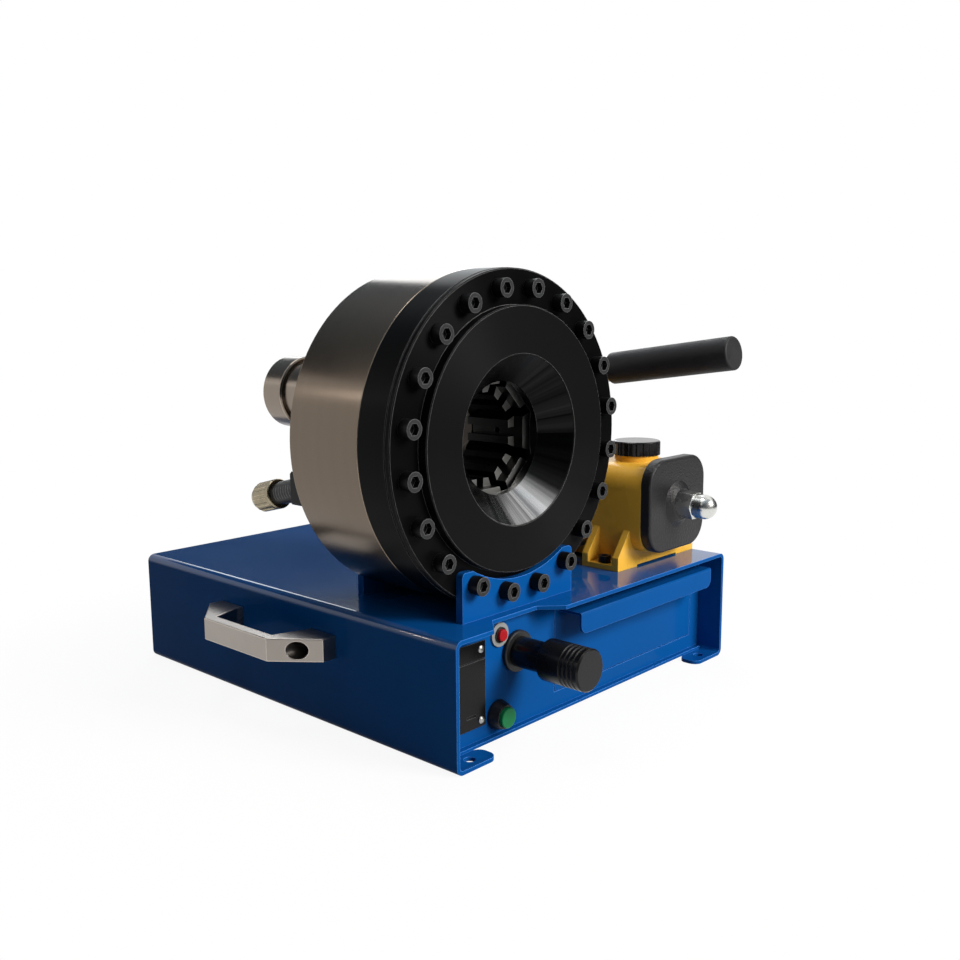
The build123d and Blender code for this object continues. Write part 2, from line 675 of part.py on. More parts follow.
def return_spring(x, z):
    """Compression spring between the rear wall and the collar."""
    front = SPRING_FRONT + SPRING_WIRE + 0.2
    back = COLLAR_END - SPRING_COLLAR - SPRING_WIRE - 0.2
    height = back - front
    path = Helix(height / SPRING_TURNS, height, SPRING_COIL)
    plane = Plane(origin=path @ 0, z_dir=path % 0)
    wire = sweep(plane * RegularPolygon(SPRING_WIRE, 6), path=path)
    return Pos(x, front, z) * Rot(-90, 0, 0) * wire


# ---- micrometer stop ----
STOP_X, STOP_Z = around_head(STOP_CIRCLE, STOP_ANGLE)
STOP_TILT_RADIANS = math.radians(STOP_TILT)
STOP_DIRECTION = (0, math.cos(STOP_TILT_RADIANS), -math.sin(STOP_TILT_RADIANS))
STOP_FACE = BARREL_REAR + STOP_BLOCK_DEPTH / 2
STOP_PLANE = Plane(origin=(STOP_X, STOP_FACE, STOP_Z), x_dir=(1, 0, 0), z_dir=STOP_DIRECTION)
UPWARD = (Align.CENTER, Align.CENTER, Align.MIN)
SLEEVE_END = STOP_SLEEVE_LENGTH + STOP_SLEEVE_INSIDE
SPINDLE_END = SLEEVE_END - 4


def stop_rod(radius, start, end):
    """Round bar on the tilted axis of the micrometer stop."""
    return STOP_PLANE * Pos(0, 0, start) * Cylinder(radius, end - start, align=UPWARD)


def stop_block():
    """Block on the rear wall that holds the micrometer."""
    half = STOP_BLOCK_WIDTH / 2
    high = STOP_BLOCK_HEIGHT / 2
    rear = BARREL_REAR + STOP_BLOCK_DEPTH
    body = block(STOP_X - half, STOP_X + half, BARREL_REAR, rear, STOP_Z - high, STOP_Z + high)
    body = chamfer(body.edges().filter_by(Axis.Y), 2)
    body -= stop_rod(STOP_SLEEVE_RADIUS + FIT, 0, 2 * STOP_BLOCK_DEPTH)
    return body - stop_rod(STOP_SPINDLE_RADIUS + FIT, -STOP_BLOCK_DEPTH, 1)


def stop_sleeve():
    """Black scale sleeve, held in the block."""
    sleeve = stop_rod(STOP_SLEEVE_RADIUS, 0, SLEEVE_END)
    return sleeve - stop_rod(STOP_SPINDLE_RADIUS + FIT, -1, SLEEVE_END + 1)


def stop_knob():
    """Fluted thimble that turns on the sleeve, with a small nose."""
    start = STOP_SLEEVE_LENGTH
    end = start + STOP_KNOB_LENGTH
    outline = [
        (0, start),
        (STOP_KNOB_RADIUS - 1, start),
        (STOP_KNOB_RADIUS, start + 1),
        (STOP_KNOB_RADIUS, end - 6),
        (STOP_KNOB_RADIUS - 3, end),
        (0, end),
    ]
    knob = revolve(Plane.XZ * make_face(Polyline(*outline, close=True)), Axis.Z)
    for number in range(STOP_KNOB_FLUTES):
        turn = Rot(0, 0, number * 360 / STOP_KNOB_FLUTES)
        flute = Cylinder(2, STOP_KNOB_LENGTH, align=UPWARD)
        knob -= turn * Pos(STOP_KNOB_RADIUS + 0.9, 0, start + 5) * flute
    nose = Pos(0, 0, end) * Cylinder(STOP_NOSE_RADIUS, 6, align=UPWARD)
    knob += fillet(nose.edges().group_by(Axis.Z)[-1], 3)
    over_sleeve = Cylinder(STOP_SLEEVE_RADIUS + SEAL_SLACK, STOP_SLEEVE_INSIDE + 1.3, align=UPWARD)
    knob -= Pos(0, 0, start - 1) * over_sleeve
    depth = SPINDLE_END + STOP_TRAVEL + 2 - start
    knob -= Pos(0, 0, start) * Cylinder(STOP_SPINDLE_RADIUS + 0.3, depth, align=UPWARD)
    return STOP_PLANE * knob


def stop_spindle():
    """Measuring spindle inside the sleeve."""
    return stop_rod(STOP_SPINDLE_RADIUS, -STOP_BLOCK_DEPTH / 2 + 1.5, SPINDLE_END)


def limit_switch():
    """Sensor block on the rear wall, its round nose close to the rim of the tail plate."""
    half = SWITCH_SIZE / 2
    rear = BARREL_REAR + SWITCH_DEPTH
    body = block(SWITCH_X - half, SWITCH_X + half, BARREL_REAR, rear, STOP_Z - half, STOP_Z + half)
    body = chamfer(body.edges().filter_by(Axis.Y), 1.5)
    drop = STOP_Z - HEAD_Z
    reach = math.sqrt((TAIL_PLATE_RADIUS + SWITCH_GAP) ** 2 - (abs(drop) - SWITCH_NOSE_RADIUS) ** 2)
    nose_y = BARREL_REAR + SWITCH_DEPTH / 2
    return body + rod_x(nose_y, STOP_Z, SWITCH_NOSE_RADIUS, SWITCH_X, HEAD_X - reach)


# ---- hand pump ----
PUMP_FRONT = FRONT + PUMP_BODY_SETBACK
PUMP_REAR = PUMP_FRONT + PUMP_BODY_LENGTH + PUMP_HEAD_LENGTH
HEAD_BLOCK_FRONT = PUMP_FRONT + PUMP_BODY_LENGTH
PUMP_TOP = DECK + PUMP_BODY_TOP
PUMP_BOTTOM = DECK + PUMP_BODY_BOTTOM
FOOT_FRONT = FRONT + PUMP_FOOT_SETBACK
REAR_FOOT_FRONT = HEAD_BLOCK_FRONT - PUMP_FOOT_DEPTH + 4
PIVOT_Y = FRONT + PIVOT_SETBACK
PIVOT_Z = PUMP_TOP + PIVOT_HEIGHT
PLUNGER_Y = PIVOT_Y - PLUNGER_ARM
NOSE_RADIUS = 10
PLUNGER_TOP = PIVOT_Z - NOSE_RADIUS - 0.3
CAP_Y = FRONT + CAP_SETBACK
PORT_X, PORT_Z = around_head(PORT_CIRCLE, PORT_ANGLE)
PIPE_Y = FRONT + PIPE_SETBACK
PIPE_Z = DECK + PIPE_RISE
PIPE_REAR_Y = BARREL_REAR + PIPE_REAR_GAP
COVER_MIDDLE_Z = DECK + COVER_MIDDLE_RISE


def foot_pad(y0):
    """Two webs that flare from the tank to the foot, with the bolt pockets between them."""
    half_foot = PUMP_FOOT_WIDTH / 2
    half_body = PUMP_BODY_WIDTH / 2
    flare = [
        (PUMP_X - half_foot, DECK),
        (PUMP_X - half_foot, DECK + RIB_LOW),
        (PUMP_X - half_body, DECK + RIB_HIGH),
        (PUMP_X + half_body, DECK + RIB_HIGH),
        (PUMP_X + half_foot, DECK + RIB_LOW),
        (PUMP_X + half_foot, DECK),
    ]
    pad = profile_y(flare, y0, y0 + PUMP_FOOT_DEPTH)
    pocket_y = (y0 + PUMP_RIB, y0 + PUMP_FOOT_DEPTH - PUMP_RIB)
    for side in (-1, 1):
        ends = sorted((PUMP_X + side * half_body, PUMP_X + side * (half_foot + 1)))
        pad -= block(*ends, *pocket_y, DECK + PUMP_PAD, DECK + RIB_HIGH + 1)
        x = PUMP_X + side * (half_foot - PUMP_BOLT_INSET)
        pad -= rod_z(x, y0 + PUMP_FOOT_DEPTH / 2, 4.1, DECK - 1, DECK + PUMP_PAD + 1)
    arch = (PUMP_X - half_foot + FOOT_ARCH_INSET, PUMP_X + half_foot - FOOT_ARCH_INSET)
    return pad - block(*arch, y0 - 1, y0 + PUMP_FOOT_DEPTH + 1, DECK - 1, DECK + FOOT_ARCH_HEIGHT)


def rounded_box(x0, x1, y0, y1, z0, z1, radius):
    """Box with its four long edges along Y rounded."""
    body = block(x0, x1, y0, y1, z0, z1)
    return fillet(body.edges().filter_by(Axis.Y), radius)


def pump_body():
    """Yellow casting: tank, filler neck, two feet, pump head and the ears of the lever pivot."""
    half = PUMP_BODY_WIDTH / 2
    body = rounded_box(
        PUMP_X - half, PUMP_X + half, PUMP_FRONT, HEAD_BLOCK_FRONT,
        PUMP_BOTTOM, PUMP_TOP, PUMP_BODY_CORNER)
    head = (PUMP_X - PUMP_HEAD_WIDTH / 2, PUMP_X + PUMP_HEAD_WIDTH / 2)
    body += block(*head, HEAD_BLOCK_FRONT, PUMP_REAR, PUMP_BOTTOM, PUMP_TOP)
    body += block(*head, FOOT_FRONT, PUMP_REAR, DECK + FOOT_ARCH_HEIGHT, PUMP_BOTTOM + 1)
    body += foot_pad(FOOT_FRONT)
    body += foot_pad(REAR_FOOT_FRONT)
    body += rod_z(PUMP_X, CAP_Y, NECK_RADIUS, PUMP_TOP - 1, PUMP_TOP + NECK_HEIGHT)
    body += rod_x(PIPE_Y, PIPE_Z, FITTING_RADIUS + 1, PUMP_X - half - PORT_BOSS_REACH, PUMP_X)
    ear_profile = [
        (PIVOT_Y - 17, PUMP_TOP - 1),
        (PIVOT_Y - 12, PIVOT_Z + 8),
        (PIVOT_Y - 6, PIVOT_Z + 13),
        (PIVOT_Y + 6, PIVOT_Z + 13),
        (PIVOT_Y + 12, PIVOT_Z + 8),
        (PIVOT_Y + 17, PUMP_TOP - 1),
    ]
    for side in (-1, 1):
        inner = ROCKER_WIDTH / 2 + 0.5
        ends = sorted((PUMP_X + side * inner, PUMP_X + side * (inner + EAR_THICKNESS)))
        body += profile_x(ear_profile, *ends)
    pin_reach = ROCKER_WIDTH / 2 + EAR_THICKNESS + 2
    body -= rod_x(PIVOT_Y, PIVOT_Z, PIVOT_RADIUS + FIT, PUMP_X - pin_reach, PUMP_X + pin_reach)
    body -= rod_z(PUMP_X, PLUNGER_Y, PLUNGER_RADIUS + FIT, PUMP_TOP - PLUNGER_BORE_DEPTH, PUMP_TOP + 1)
    return body


def cover_outline(depth, y_front, inset=0):
    """Rounded outline of the tank's front face, depth thick."""
    half = COVER_WIDTH / 2 - inset
    high = COVER_HEIGHT / 2 - inset
    return rounded_box(
        PUMP_X - half, PUMP_X + half, y_front, y_front + depth,
        COVER_MIDDLE_Z - high, COVER_MIDDLE_Z + high, COVER_CORNER - inset)


COVER_BACK = PUMP_FRONT
COVER_FRONT = COVER_BACK - COVER_DEPTH
NUT_START = COVER_FRONT - NUT_BOSS


def tank_cover():
    """Moulded front cover of the tank, with the raised round seat of the nut."""
    cover = cover_outline(COVER_DEPTH, COVER_FRONT)
    cover = fillet(cover.faces().sort_by(Axis.Y)[0].edges(), 3)
    root = COVER_FRONT + 1
    boss = [(0, NUT_START), (18, NUT_START), (21, NUT_START + 2), (27, root), (0, root)]
    cover += turned(boss, PUMP_X, COVER_MIDDLE_Z)
    hole = STUD_RADIUS + HOLE_CLEARANCE
    return cover - rod_y(PUMP_X, COVER_MIDDLE_Z, hole, NUT_START - 1, COVER_BACK + 1)


def dome_nut():
    """Cap nut and its stud, which hold the cover."""
    plane = Plane(origin=(PUMP_X, NUT_START - NUT_LENGTH, COVER_MIDDLE_Z), x_dir=(1, 0, 0), z_dir=(0, 1, 0))
    nut = extrude(plane * RegularPolygon(NUT_ACROSS_FLATS / 2, 6, major_radius=False), NUT_LENGTH)
    dome_start = NUT_START - NUT_LENGTH
    nut += rod_y(PUMP_X, COVER_MIDDLE_Z, NUT_DOME_RADIUS, dome_start - NUT_NECK, dome_start)
    nut += Pos(PUMP_X, dome_start - NUT_NECK, COVER_MIDDLE_Z) * Sphere(NUT_DOME_RADIUS)
    return nut + rod_y(PUMP_X, COVER_MIDDLE_Z, STUD_RADIUS, NUT_START - 1, PUMP_FRONT)


def filler_cap():
    """Ribbed screw cap on the filler neck."""
    z0 = PUMP_TOP + NECK_HEIGHT
    cap = rod_z(PUMP_X, CAP_Y, CAP_RADIUS, z0, z0 + CAP_HEIGHT)
    cap = fillet(cap.edges().group_by(Axis.Z)[-1], 2)
    for number in range(CAP_RIBS):
        angle = math.radians(number * 360 / CAP_RIBS)
        x = PUMP_X + (CAP_RADIUS + 0.4) * math.cos(angle)
        y = CAP_Y + (CAP_RADIUS + 0.4) * math.sin(angle)
        groove = Rot(0, 0, math.degrees(angle) + 45) * Box(2.2, 2.2, CAP_HEIGHT)
        cap -= Pos(x, y, z0 + CAP_HEIGHT / 2 - 1.5) * groove
    return cap


def pump_bolts():
    """Four socket head bolts in the pockets of the feet."""
    bolts = []
    half_foot = PUMP_FOOT_WIDTH / 2
    seat = DECK + PUMP_PAD
    for y0 in (FOOT_FRONT, REAR_FOOT_FRONT):
        for side in (-1, 1):
            x = PUMP_X + side * (half_foot - PUMP_BOLT_INSET)
            y = y0 + PUMP_FOOT_DEPTH / 2
            bolt = rod_z(x, y, 7, seat, seat + 8) + rod_z(x, y, 4, DECK, seat)
            plane = Plane(origin=(x, y, seat + 4))
            bolts.append(bolt - extrude(plane * RegularPolygon(3.5, 6, major_radius=False), 5))
    return bolts


def pump_plunger():
    """Vertical plunger with a flat head under the rocker's nose."""
    plunger = rod_z(PUMP_X, PLUNGER_Y, PLUNGER_RADIUS, PUMP_TOP - 30, PLUNGER_TOP)
    return plunger + rod_z(PUMP_X, PLUNGER_Y, PLUNGER_HEAD_RADIUS, PLUNGER_TOP - 5, PLUNGER_TOP)


def plunger_gland():
    """Nut that holds the plunger's seal."""
    seat = Plane(origin=(PUMP_X, PLUNGER_Y, PUMP_TOP))
    gland = seat * RegularPolygon(GLAND_ACROSS_FLATS / 2, 6, major_radius=False)
    bore = rod_z(PUMP_X, PLUNGER_Y, PLUNGER_RADIUS + FIT, PUMP_TOP - 1, PUMP_TOP + GLAND_HEIGHT + 1)
    return extrude(gland, GLAND_HEIGHT) - bore


def pivot_pin():
    """Pin of the lever, through both ears."""
    reach = ROCKER_WIDTH / 2 + EAR_THICKNESS + 1.5
    pin = rod_x(PIVOT_Y, PIVOT_Z, PIVOT_RADIUS, PUMP_X - reach, PUMP_X + reach)
    for side in (-1, 1):
        ends = sorted((PUMP_X + side * reach, PUMP_X + side * (reach + 2)))
        pin += rod_x(PIVOT_Y, PIVOT_Z, PIVOT_RADIUS + 2, *ends)
    return pin


RELEASE_Y = PIVOT_Y - 18
RELEASE_Z = DECK + RELEASE_RISE
RELEASE_START = PUMP_X + PUMP_HEAD_WIDTH / 2


def release_knob():
    """Release valve wheel on the side of the pump head."""
    knob = rod_x(RELEASE_Y, RELEASE_Z, 6, RELEASE_START + 0.3, RELEASE_START + 6)
    knob += rod_x(RELEASE_Y, RELEASE_Z, RELEASE_RADIUS, RELEASE_START + 5, RELEASE_START + 24)
    for number in range(6):
        angle = math.radians(number * 60)
        y = RELEASE_Y + (RELEASE_RADIUS + 2) * math.cos(angle)
        z = RELEASE_Z + (RELEASE_RADIUS + 2) * math.sin(angle)
        knob -= rod_x(y, z, 4, RELEASE_START + 4, RELEASE_START + 25)
    return knob


PIPE_START = PUMP_X - PUMP_BODY_WIDTH / 2 - PORT_BOSS_REACH


def pressure_pipe():
    """Bent steel pipe from the tank's side, back past the barrel, to the port in its rear wall."""
    start = (PIPE_START - FITTING_LENGTH + FITTING_OVERLAP, PIPE_Y, PIPE_Z)
    route = [
        start,
        (PIPE_X, PIPE_Y, PIPE_Z),
        (PIPE_X, PIPE_REAR_Y, PIPE_Z),
        (PORT_X, PIPE_REAR_Y, PORT_Z),
        (PORT_X, BARREL_REAR + FITTING_LENGTH - FITTING_OVERLAP, PORT_Z),
    ]
    path = FilletPolyline(*route, radius=PIPE_BEND)
    return sweep(Plane(origin=start, z_dir=(-1, 0, 0)) * Circle(PIPE_RADIUS), path=path)


def pipe_nut():
    """Hexagonal pipe nut standing on the XY plane, bored for the pipe."""
    body = extrude(RegularPolygon(FITTING_RADIUS, 6, major_radius=False), FITTING_LENGTH)
    depth = FITTING_LENGTH - FITTING_OVERLAP
    return body - Pos(0, 0, depth - 0.1) * Cylinder(PIPE_RADIUS + FIT, FITTING_LENGTH, align=UPWARD)


def pipe_fittings():
    """One pipe nut on the barrel and one on the pump."""
    on_barrel = Plane(origin=(PORT_X, BARREL_REAR, PORT_Z), x_dir=(1, 0, 0), z_dir=(0, 1, 0))
    on_pump = Plane(origin=(PIPE_START, PIPE_Y, PIPE_Z), x_dir=(0, 1, 0), z_dir=(-1, 0, 0))
    return [on_barrel * pipe_nut(), on_pump * pipe_nut()]


# ---- lever ----
RISE = math.radians(LEVER_RISE)
LEVER_DIRECTION = (0, -math.cos(RISE), math.sin(RISE))
LEVER_REAR_Y = PIVOT_Y + SOCKET_BEHIND_PIVOT
LEVER_REAR_Z = PIVOT_Z + LEVER_ABOVE_PIVOT - (LEVER_REAR_Y - PIVOT_Y) * math.tan(RISE)
LEVER_PLANE = Plane(origin=(PUMP_X, LEVER_REAR_Y, LEVER_REAR_Z), x_dir=(1, 0, 0), z_dir=LEVER_DIRECTION)


def lever_rod(radius, start, end):
    """Round bar on the lever's axis."""
    return LEVER_PLANE * Pos(0, 0, start) * Cylinder(radius, end - start, align=UPWARD)


def lever_rocker():
    """Rocker: hub on the pivot, nose over the plunger, and the socket of the lever."""
    half = ROCKER_WIDTH / 2
    hub = rod_x(PIVOT_Y, PIVOT_Z, 15, PUMP_X - half, PUMP_X + half)
    web_sides = (PUMP_X - ROCKER_WEB / 2, PUMP_X + ROCKER_WEB / 2)
    nose = rod_x(PLUNGER_Y, PIVOT_Z, NOSE_RADIUS, *web_sides)
    arm = block(*web_sides, PLUNGER_Y, PIVOT_Y, PIVOT_Z - 4, PIVOT_Z + 10)
    web = [
        (PLUNGER_Y + 4, PIVOT_Z + 6),
        (PLUNGER_Y + 4, LEVER_REAR_Z - SOCKET_RADIUS + 12),
        (PIVOT_Y + 14, LEVER_REAR_Z - SOCKET_RADIUS + 6),
        (PIVOT_Y + 12, PIVOT_Z),
        (PIVOT_Y, PIVOT_Z),
    ]
    rocker = hub + nose + arm + profile_x(web, *web_sides)
    rocker += lever_rod(SOCKET_RADIUS, 0, SOCKET_LENGTH)
    rocker -= rod_x(PIVOT_Y, PIVOT_Z, PIVOT_RADIUS + FIT, PUMP_X - half - 1, PUMP_X + half + 1)
    return rocker - lever_rod(LEVER_RADIUS + FIT, -1, SOCKET_LENGTH + 1)


GRIP_END = 2 + LEVER_LENGTH + 8


def lever_bar():
    """Steel tube of the lever."""
    return lever_rod(LEVER_RADIUS, 2, 2 + LEVER_LENGTH) - lever_rod(LEVER_RADIUS - 3, 1, LEVER_LENGTH + 3)


def lever_grip():
    """Rubber grip pushed over the tube, closed at the end."""
    grip = lever_rod(GRIP_RADIUS, GRIP_END - GRIP_LENGTH, GRIP_END)
    grip = fillet(grip.edges().filter_by(GeomType.CIRCLE), 2)
    return grip - lever_rod(LEVER_RADIUS + FIT, GRIP_END - GRIP_LENGTH - 1, 2.2 + LEVER_LENGTH)


# ---- controls ----
def green_bezel():
    """Black conical collar of the start button, with its body behind the panel."""
    profile = [
        (GREEN_CAP_RADIUS + 0.3, PANEL_FACE - BEZEL_HEIGHT),
        (GREEN_CAP_RADIUS + 1.5, PANEL_FACE - BEZEL_HEIGHT),
        (BEZEL_RADIUS, PANEL_FACE - 3),
        (BEZEL_RADIUS, PANEL_FACE),
        (BUTTON_BODY_RADIUS, PANEL_FACE),
        (BUTTON_BODY_RADIUS, PANEL_BACK + BUTTON_BODY_LENGTH),
        (0, PANEL_BACK + BUTTON_BODY_LENGTH),
        (0, PANEL_FACE + 2),
        (GREEN_CAP_RADIUS + 0.3, PANEL_FACE + 2),
    ]
    return turned(profile, GREEN_X, GREEN_Z)


def green_cap():
    """Green push cap, with its travel left open behind it."""
    front = PANEL_FACE - GREEN_PROUD
    cap = rod_y(GREEN_X, GREEN_Z, GREEN_CAP_RADIUS, front, PANEL_FACE + 2 - GREEN_TRAVEL - 0.3)
    return fillet(cap.edges().group_by(Axis.Y)[0], 1)


def red_ring():
    """Light legend ring round the stop button."""
    plate = rod_y(RED_X, RED_Z, LEGEND_RADIUS, PANEL_FACE - LEGEND_THICKNESS, PANEL_FACE)
    hole = RED_CAP_RADIUS + RED_COLLAR + HOLE_CLEARANCE
    return plate - rod_y(RED_X, RED_Z, hole, PANEL_FACE - 3, PANEL_FACE + 1)


def red_body():
    """Collar and body of the stop button."""
    collar = rod_y(RED_X, RED_Z, RED_CAP_RADIUS + RED_COLLAR, PANEL_FACE - 3.5, PANEL_BACK + 20)
    return collar - rod_y(RED_X, RED_Z, RED_CAP_RADIUS + 0.3, PANEL_FACE - 5, PANEL_FACE + 3)


def red_cap():
    """Red push cap."""
    cap = rod_y(RED_X, RED_Z, RED_CAP_RADIUS, PANEL_FACE - RED_PROUD, PANEL_FACE + 3 - RED_TRAVEL - 0.3)
    return fillet(cap.edges().group_by(Axis.Y)[0], 0.8)


def cover_plate():
    """Black cover of the battery bay, with a pressed line below its upper band and a finger notch."""
    face = PANEL_FACE - PLATE_THICKNESS
    plate = block(PLATE_LEFT, PLATE_RIGHT, face, PANEL_FACE, PLATE_BOTTOM, PLATE_TOP)
    line = PLATE_TOP - PLATE_BAND
    plate -= block(PLATE_LEFT - 1, PLATE_RIGHT + 1, face - 1, face + PLATE_LINE, line - 1.4, line)
    notch = (PLATE_RIGHT - 26, PLATE_RIGHT - 14)
    return plate - block(*notch, face - 1, face + PLATE_LINE, PLATE_BOTTOM + 11, PLATE_BOTTOM + 14)


def plate_screws():
    """Four pan head screws of the cover plate."""
    screws = []
    for x in (PLATE_LEFT + 6.5, PLATE_RIGHT - 6.5):
        for z in (PLATE_BOTTOM + 6.5, PLATE_TOP - 7.5):
            profile = [(0, 0), (0, -2.4), (2, -2.2), (3.6, -1), (3.8, 0)]
            points = [(radius, y + PANEL_FACE - PLATE_THICKNESS) for radius, y in profile]
            screws.append(turned(points, x, z))
    return screws


def tool_holder():
    """Flanged tube in the panel that the die change tool is parked in."""
    inner = TOOL_SHANK_RADIUS + FIT
    outer = TOOL_SHANK_RADIUS + HOLDER_WALL
    profile = [
        (inner, PANEL_FACE - HOLDER_FLANGE),
        (HOLDER_RADIUS - 1, PANEL_FACE - HOLDER_FLANGE),
        (HOLDER_RADIUS, PANEL_FACE - HOLDER_FLANGE + 1),
        (HOLDER_RADIUS, PANEL_FACE),
        (outer, PANEL_FACE),
        (outer, PANEL_FACE + TOOL_SHANK_LENGTH),
        (0, PANEL_FACE + TOOL_SHANK_LENGTH),
        (0, PANEL_FACE + TOOL_SHANK_LENGTH - HOLDER_FLANGE),
        (inner, PANEL_FACE + TOOL_SHANK_LENGTH - HOLDER_FLANGE),
    ]
    return turned(profile, TOOL_X, TOOL_Z)


def change_tool():
    """Black die change tool with a stepped, grooved grip."""
    end = PANEL_FACE - TOOL_REACH
    seat = PANEL_FACE - HOLDER_FLANGE - 0.2
    shank_end = PANEL_FACE + TOOL_SHANK_LENGTH - HOLDER_FLANGE - 0.5
    grip = TOOL_GRIP_RADIUS
    profile = [(0, end), (grip - 1.5, end), (grip, end + 1.5)]
    for number in range(4):
        start = end + 5 + 5 * number
        profile += [(grip, start), (grip - 1, start + 0.6), (grip - 1, start + 2), (grip, start + 2.6)]
    profile += [
        (grip, end + TOOL_GRIP_LENGTH - 3),
        (TOOL_NECK_RADIUS, end + TOOL_GRIP_LENGTH),
        (TOOL_NECK_RADIUS, seat),
        (TOOL_SHANK_RADIUS, seat),
        (TOOL_SHANK_RADIUS, shank_end),
        (0, shank_end),
    ]
    return turned(profile, TOOL_X, TOOL_Z)


# ---- drawer ----
TRAY_BOTTOM = DRAWER_BOTTOM + DRAWER_GAP
TRAY_BACK = PANEL_FACE + DRAWER_DEPTH


def drawer():
    """Sheet metal drawer: open tray, front plate and a folded pull lip."""
    left = DRAWER_LEFT + DRAWER_GAP
    right = DRAWER_RIGHT - DRAWER_GAP
    front = block(left, right, PANEL_FACE, PANEL_BACK, TRAY_BOTTOM, DRAWER_TOP)
    tray = block(left + 2, right - 2, PANEL_FACE, TRAY_BACK, TRAY_BOTTOM, DRAWER_TOP - 9)
    tray -= block(
        left + 2 + DRAWER_SHEET, right - 2 - DRAWER_SHEET, PANEL_BACK, TRAY_BACK - DRAWER_SHEET,
        TRAY_BOTTOM + DRAWER_SHEET, DRAWER_TOP)
    flange = block(LIP_LEFT, LIP_RIGHT, FRONT + 1, PANEL_BACK, DRAWER_TOP - PANEL_SHEET, DRAWER_TOP)
    lip_bottom = DRAWER_TOP - LIP_HEIGHT
    lip = block(LIP_LEFT, LIP_RIGHT, FRONT + 1, FRONT + 1 + PANEL_SHEET, lip_bottom, DRAWER_TOP)
    lower = [edge for edge in lip.edges().filter_by(Axis.Y) if edge.center().Z < lip_bottom + LIP_CORNER]
    lip = fillet(lower, LIP_CORNER)
    bent = flange + lip
    bend = [
        edge for edge in bent.edges().filter_by(Axis.X)
        if edge.center().Z > DRAWER_TOP - 0.1 and edge.center().Y < FRONT + 2
    ]
    bent = fillet(bend, PANEL_SHEET - 0.5)
    return front + tray + bent


def drawer_runners():
    """Two folded rails on the floor that the tray slides on."""
    top = TRAY_BOTTOM - 0.3
    rails = []
    for x in (DRAWER_LEFT + 6, DRAWER_RIGHT - 6 - RUNNER_WIDTH):
        rail = block(x, x + RUNNER_WIDTH, PANEL_BACK + 1, TRAY_BACK, FLOOR_TOP, top)
        hollow = (x + DRAWER_SHEET, x + RUNNER_WIDTH - DRAWER_SHEET)
        rails.append(rail - block(*hollow, FRONT, TRAY_BACK + 1, FLOOR_TOP - 1, top - DRAWER_SHEET))
    return rails


# ---- side handles ----
def handle(side):
    """Aluminium bridge handle, milled from bar, with counterbored ends."""
    wall = BASE_WIDTH / 2
    half = HANDLE_LENGTH / 2
    straight = HANDLE_STRAIGHT / 2
    inside = half - HANDLE_FOOT
    outline = [
        (wall, -half),
        (wall + HANDLE_END, -half),
        (wall + HANDLE_STANDOFF, -straight),
        (wall + HANDLE_STANDOFF, straight),
        (wall + HANDLE_END, half),
        (wall, half),
        (wall, inside),
        (wall + HANDLE_END / 2, inside),
        (wall + HANDLE_STANDOFF - HANDLE_BAR, straight - HANDLE_BAR / 2),
        (wall + HANDLE_STANDOFF - HANDLE_BAR, -straight + HANDLE_BAR / 2),
        (wall + HANDLE_END / 2, -inside),
        (wall, -inside),
    ]
    bar = extrude(make_face(Polyline(*outline, close=True)), HANDLE_HEIGHT)
    bar = chamfer(bar.faces().sort_by(Axis.Z)[-1].edges() + bar.faces().sort_by(Axis.Z)[0].edges(), 0.8)
    bar = Pos(0, 0, HANDLE_Z - HANDLE_HEIGHT / 2) * bar
    for hole in (-1, 1):
        y = hole * HANDLE_HOLES / 2
        bar -= rod_x(y, HANDLE_Z, HANDLE_BOLT_RADIUS + HOLE_CLEARANCE, wall - 1, wall + HANDLE_STANDOFF)
        bar -= rod_x(y, HANDLE_Z, 9, wall + 10, wall + HANDLE_STANDOFF)
    bar = Pos(0, HANDLE_MIDDLE, 0) * bar
    return bar if side > 0 else mirror(bar, Plane.YZ)


def handle_bolts():
    """Four socket head bolts that hold the handles."""
    bolts = []
    wall = BASE_WIDTH / 2
    for side in (-1, 1):
        for hole in (-1, 1):
            y = HANDLE_MIDDLE + hole * HANDLE_HOLES / 2
            bolt = rod_x(y, HANDLE_Z, HANDLE_BOLT_RADIUS, wall - SHEET - 6, wall + 10)
            bolt += rod_x(y, HANDLE_Z, 8, wall + 10, wall + 16)
            nut_plane = Plane(origin=(wall - SHEET - 6, y, HANDLE_Z), x_dir=(0, 1, 0), z_dir=(1, 0, 0))
            bolt += extrude(nut_plane * RegularPolygon(8, 6, major_radius=False), 6)
            bolts.append(bolt if side > 0 else mirror(bolt, Plane.YZ))
    return bolts


save("base_cover", base_cover())
save("bottom_plate", bottom_plate())
save("front_panel", front_panel())
save("rear_panel", rear_panel())
save("front_saddle", saddle(SADDLE_WIDTH, FLANGE_FACE - SADDLE_THICKNESS, FLANGE_FACE))
save("rear_saddle", saddle(REAR_SADDLE_WIDTH, BARREL_REAR, BARREL_REAR + SADDLE_THICKNESS))
save("end_cap", end_cap())
save("barrel", barrel())
save("piston", piston())
save("flange_bolts", *flange_bolts())
save("bolt_spacers", *bolt_spacers())
save("saddle_bolts", *saddle_bolts())
save("cylinder_seals", *cylinder_seals())
save("piston_seals", *piston_seals())
save("tail_plate", tail_plate())
for number in range(1, DIE_COUNT + 1):
    save(f"die_{number}", die(number))
save("return_rods", *[return_rod(x, z) for x, z in SPRING_ENDS])
save("spring_necks", *[spring_neck(x, z) for x, z in SPRING_ENDS])
save("spring_caps", *[spring_cap(x, z) for x, z in SPRING_ENDS])
save("return_springs", *[return_spring(x, z) for x, z in SPRING_ENDS])
save("micrometer_block", stop_block())
save("micrometer_sleeve", stop_sleeve())
save("micrometer_knob", stop_knob())
save("micrometer_spindle", stop_spindle())
save("limit_switch", limit_switch())
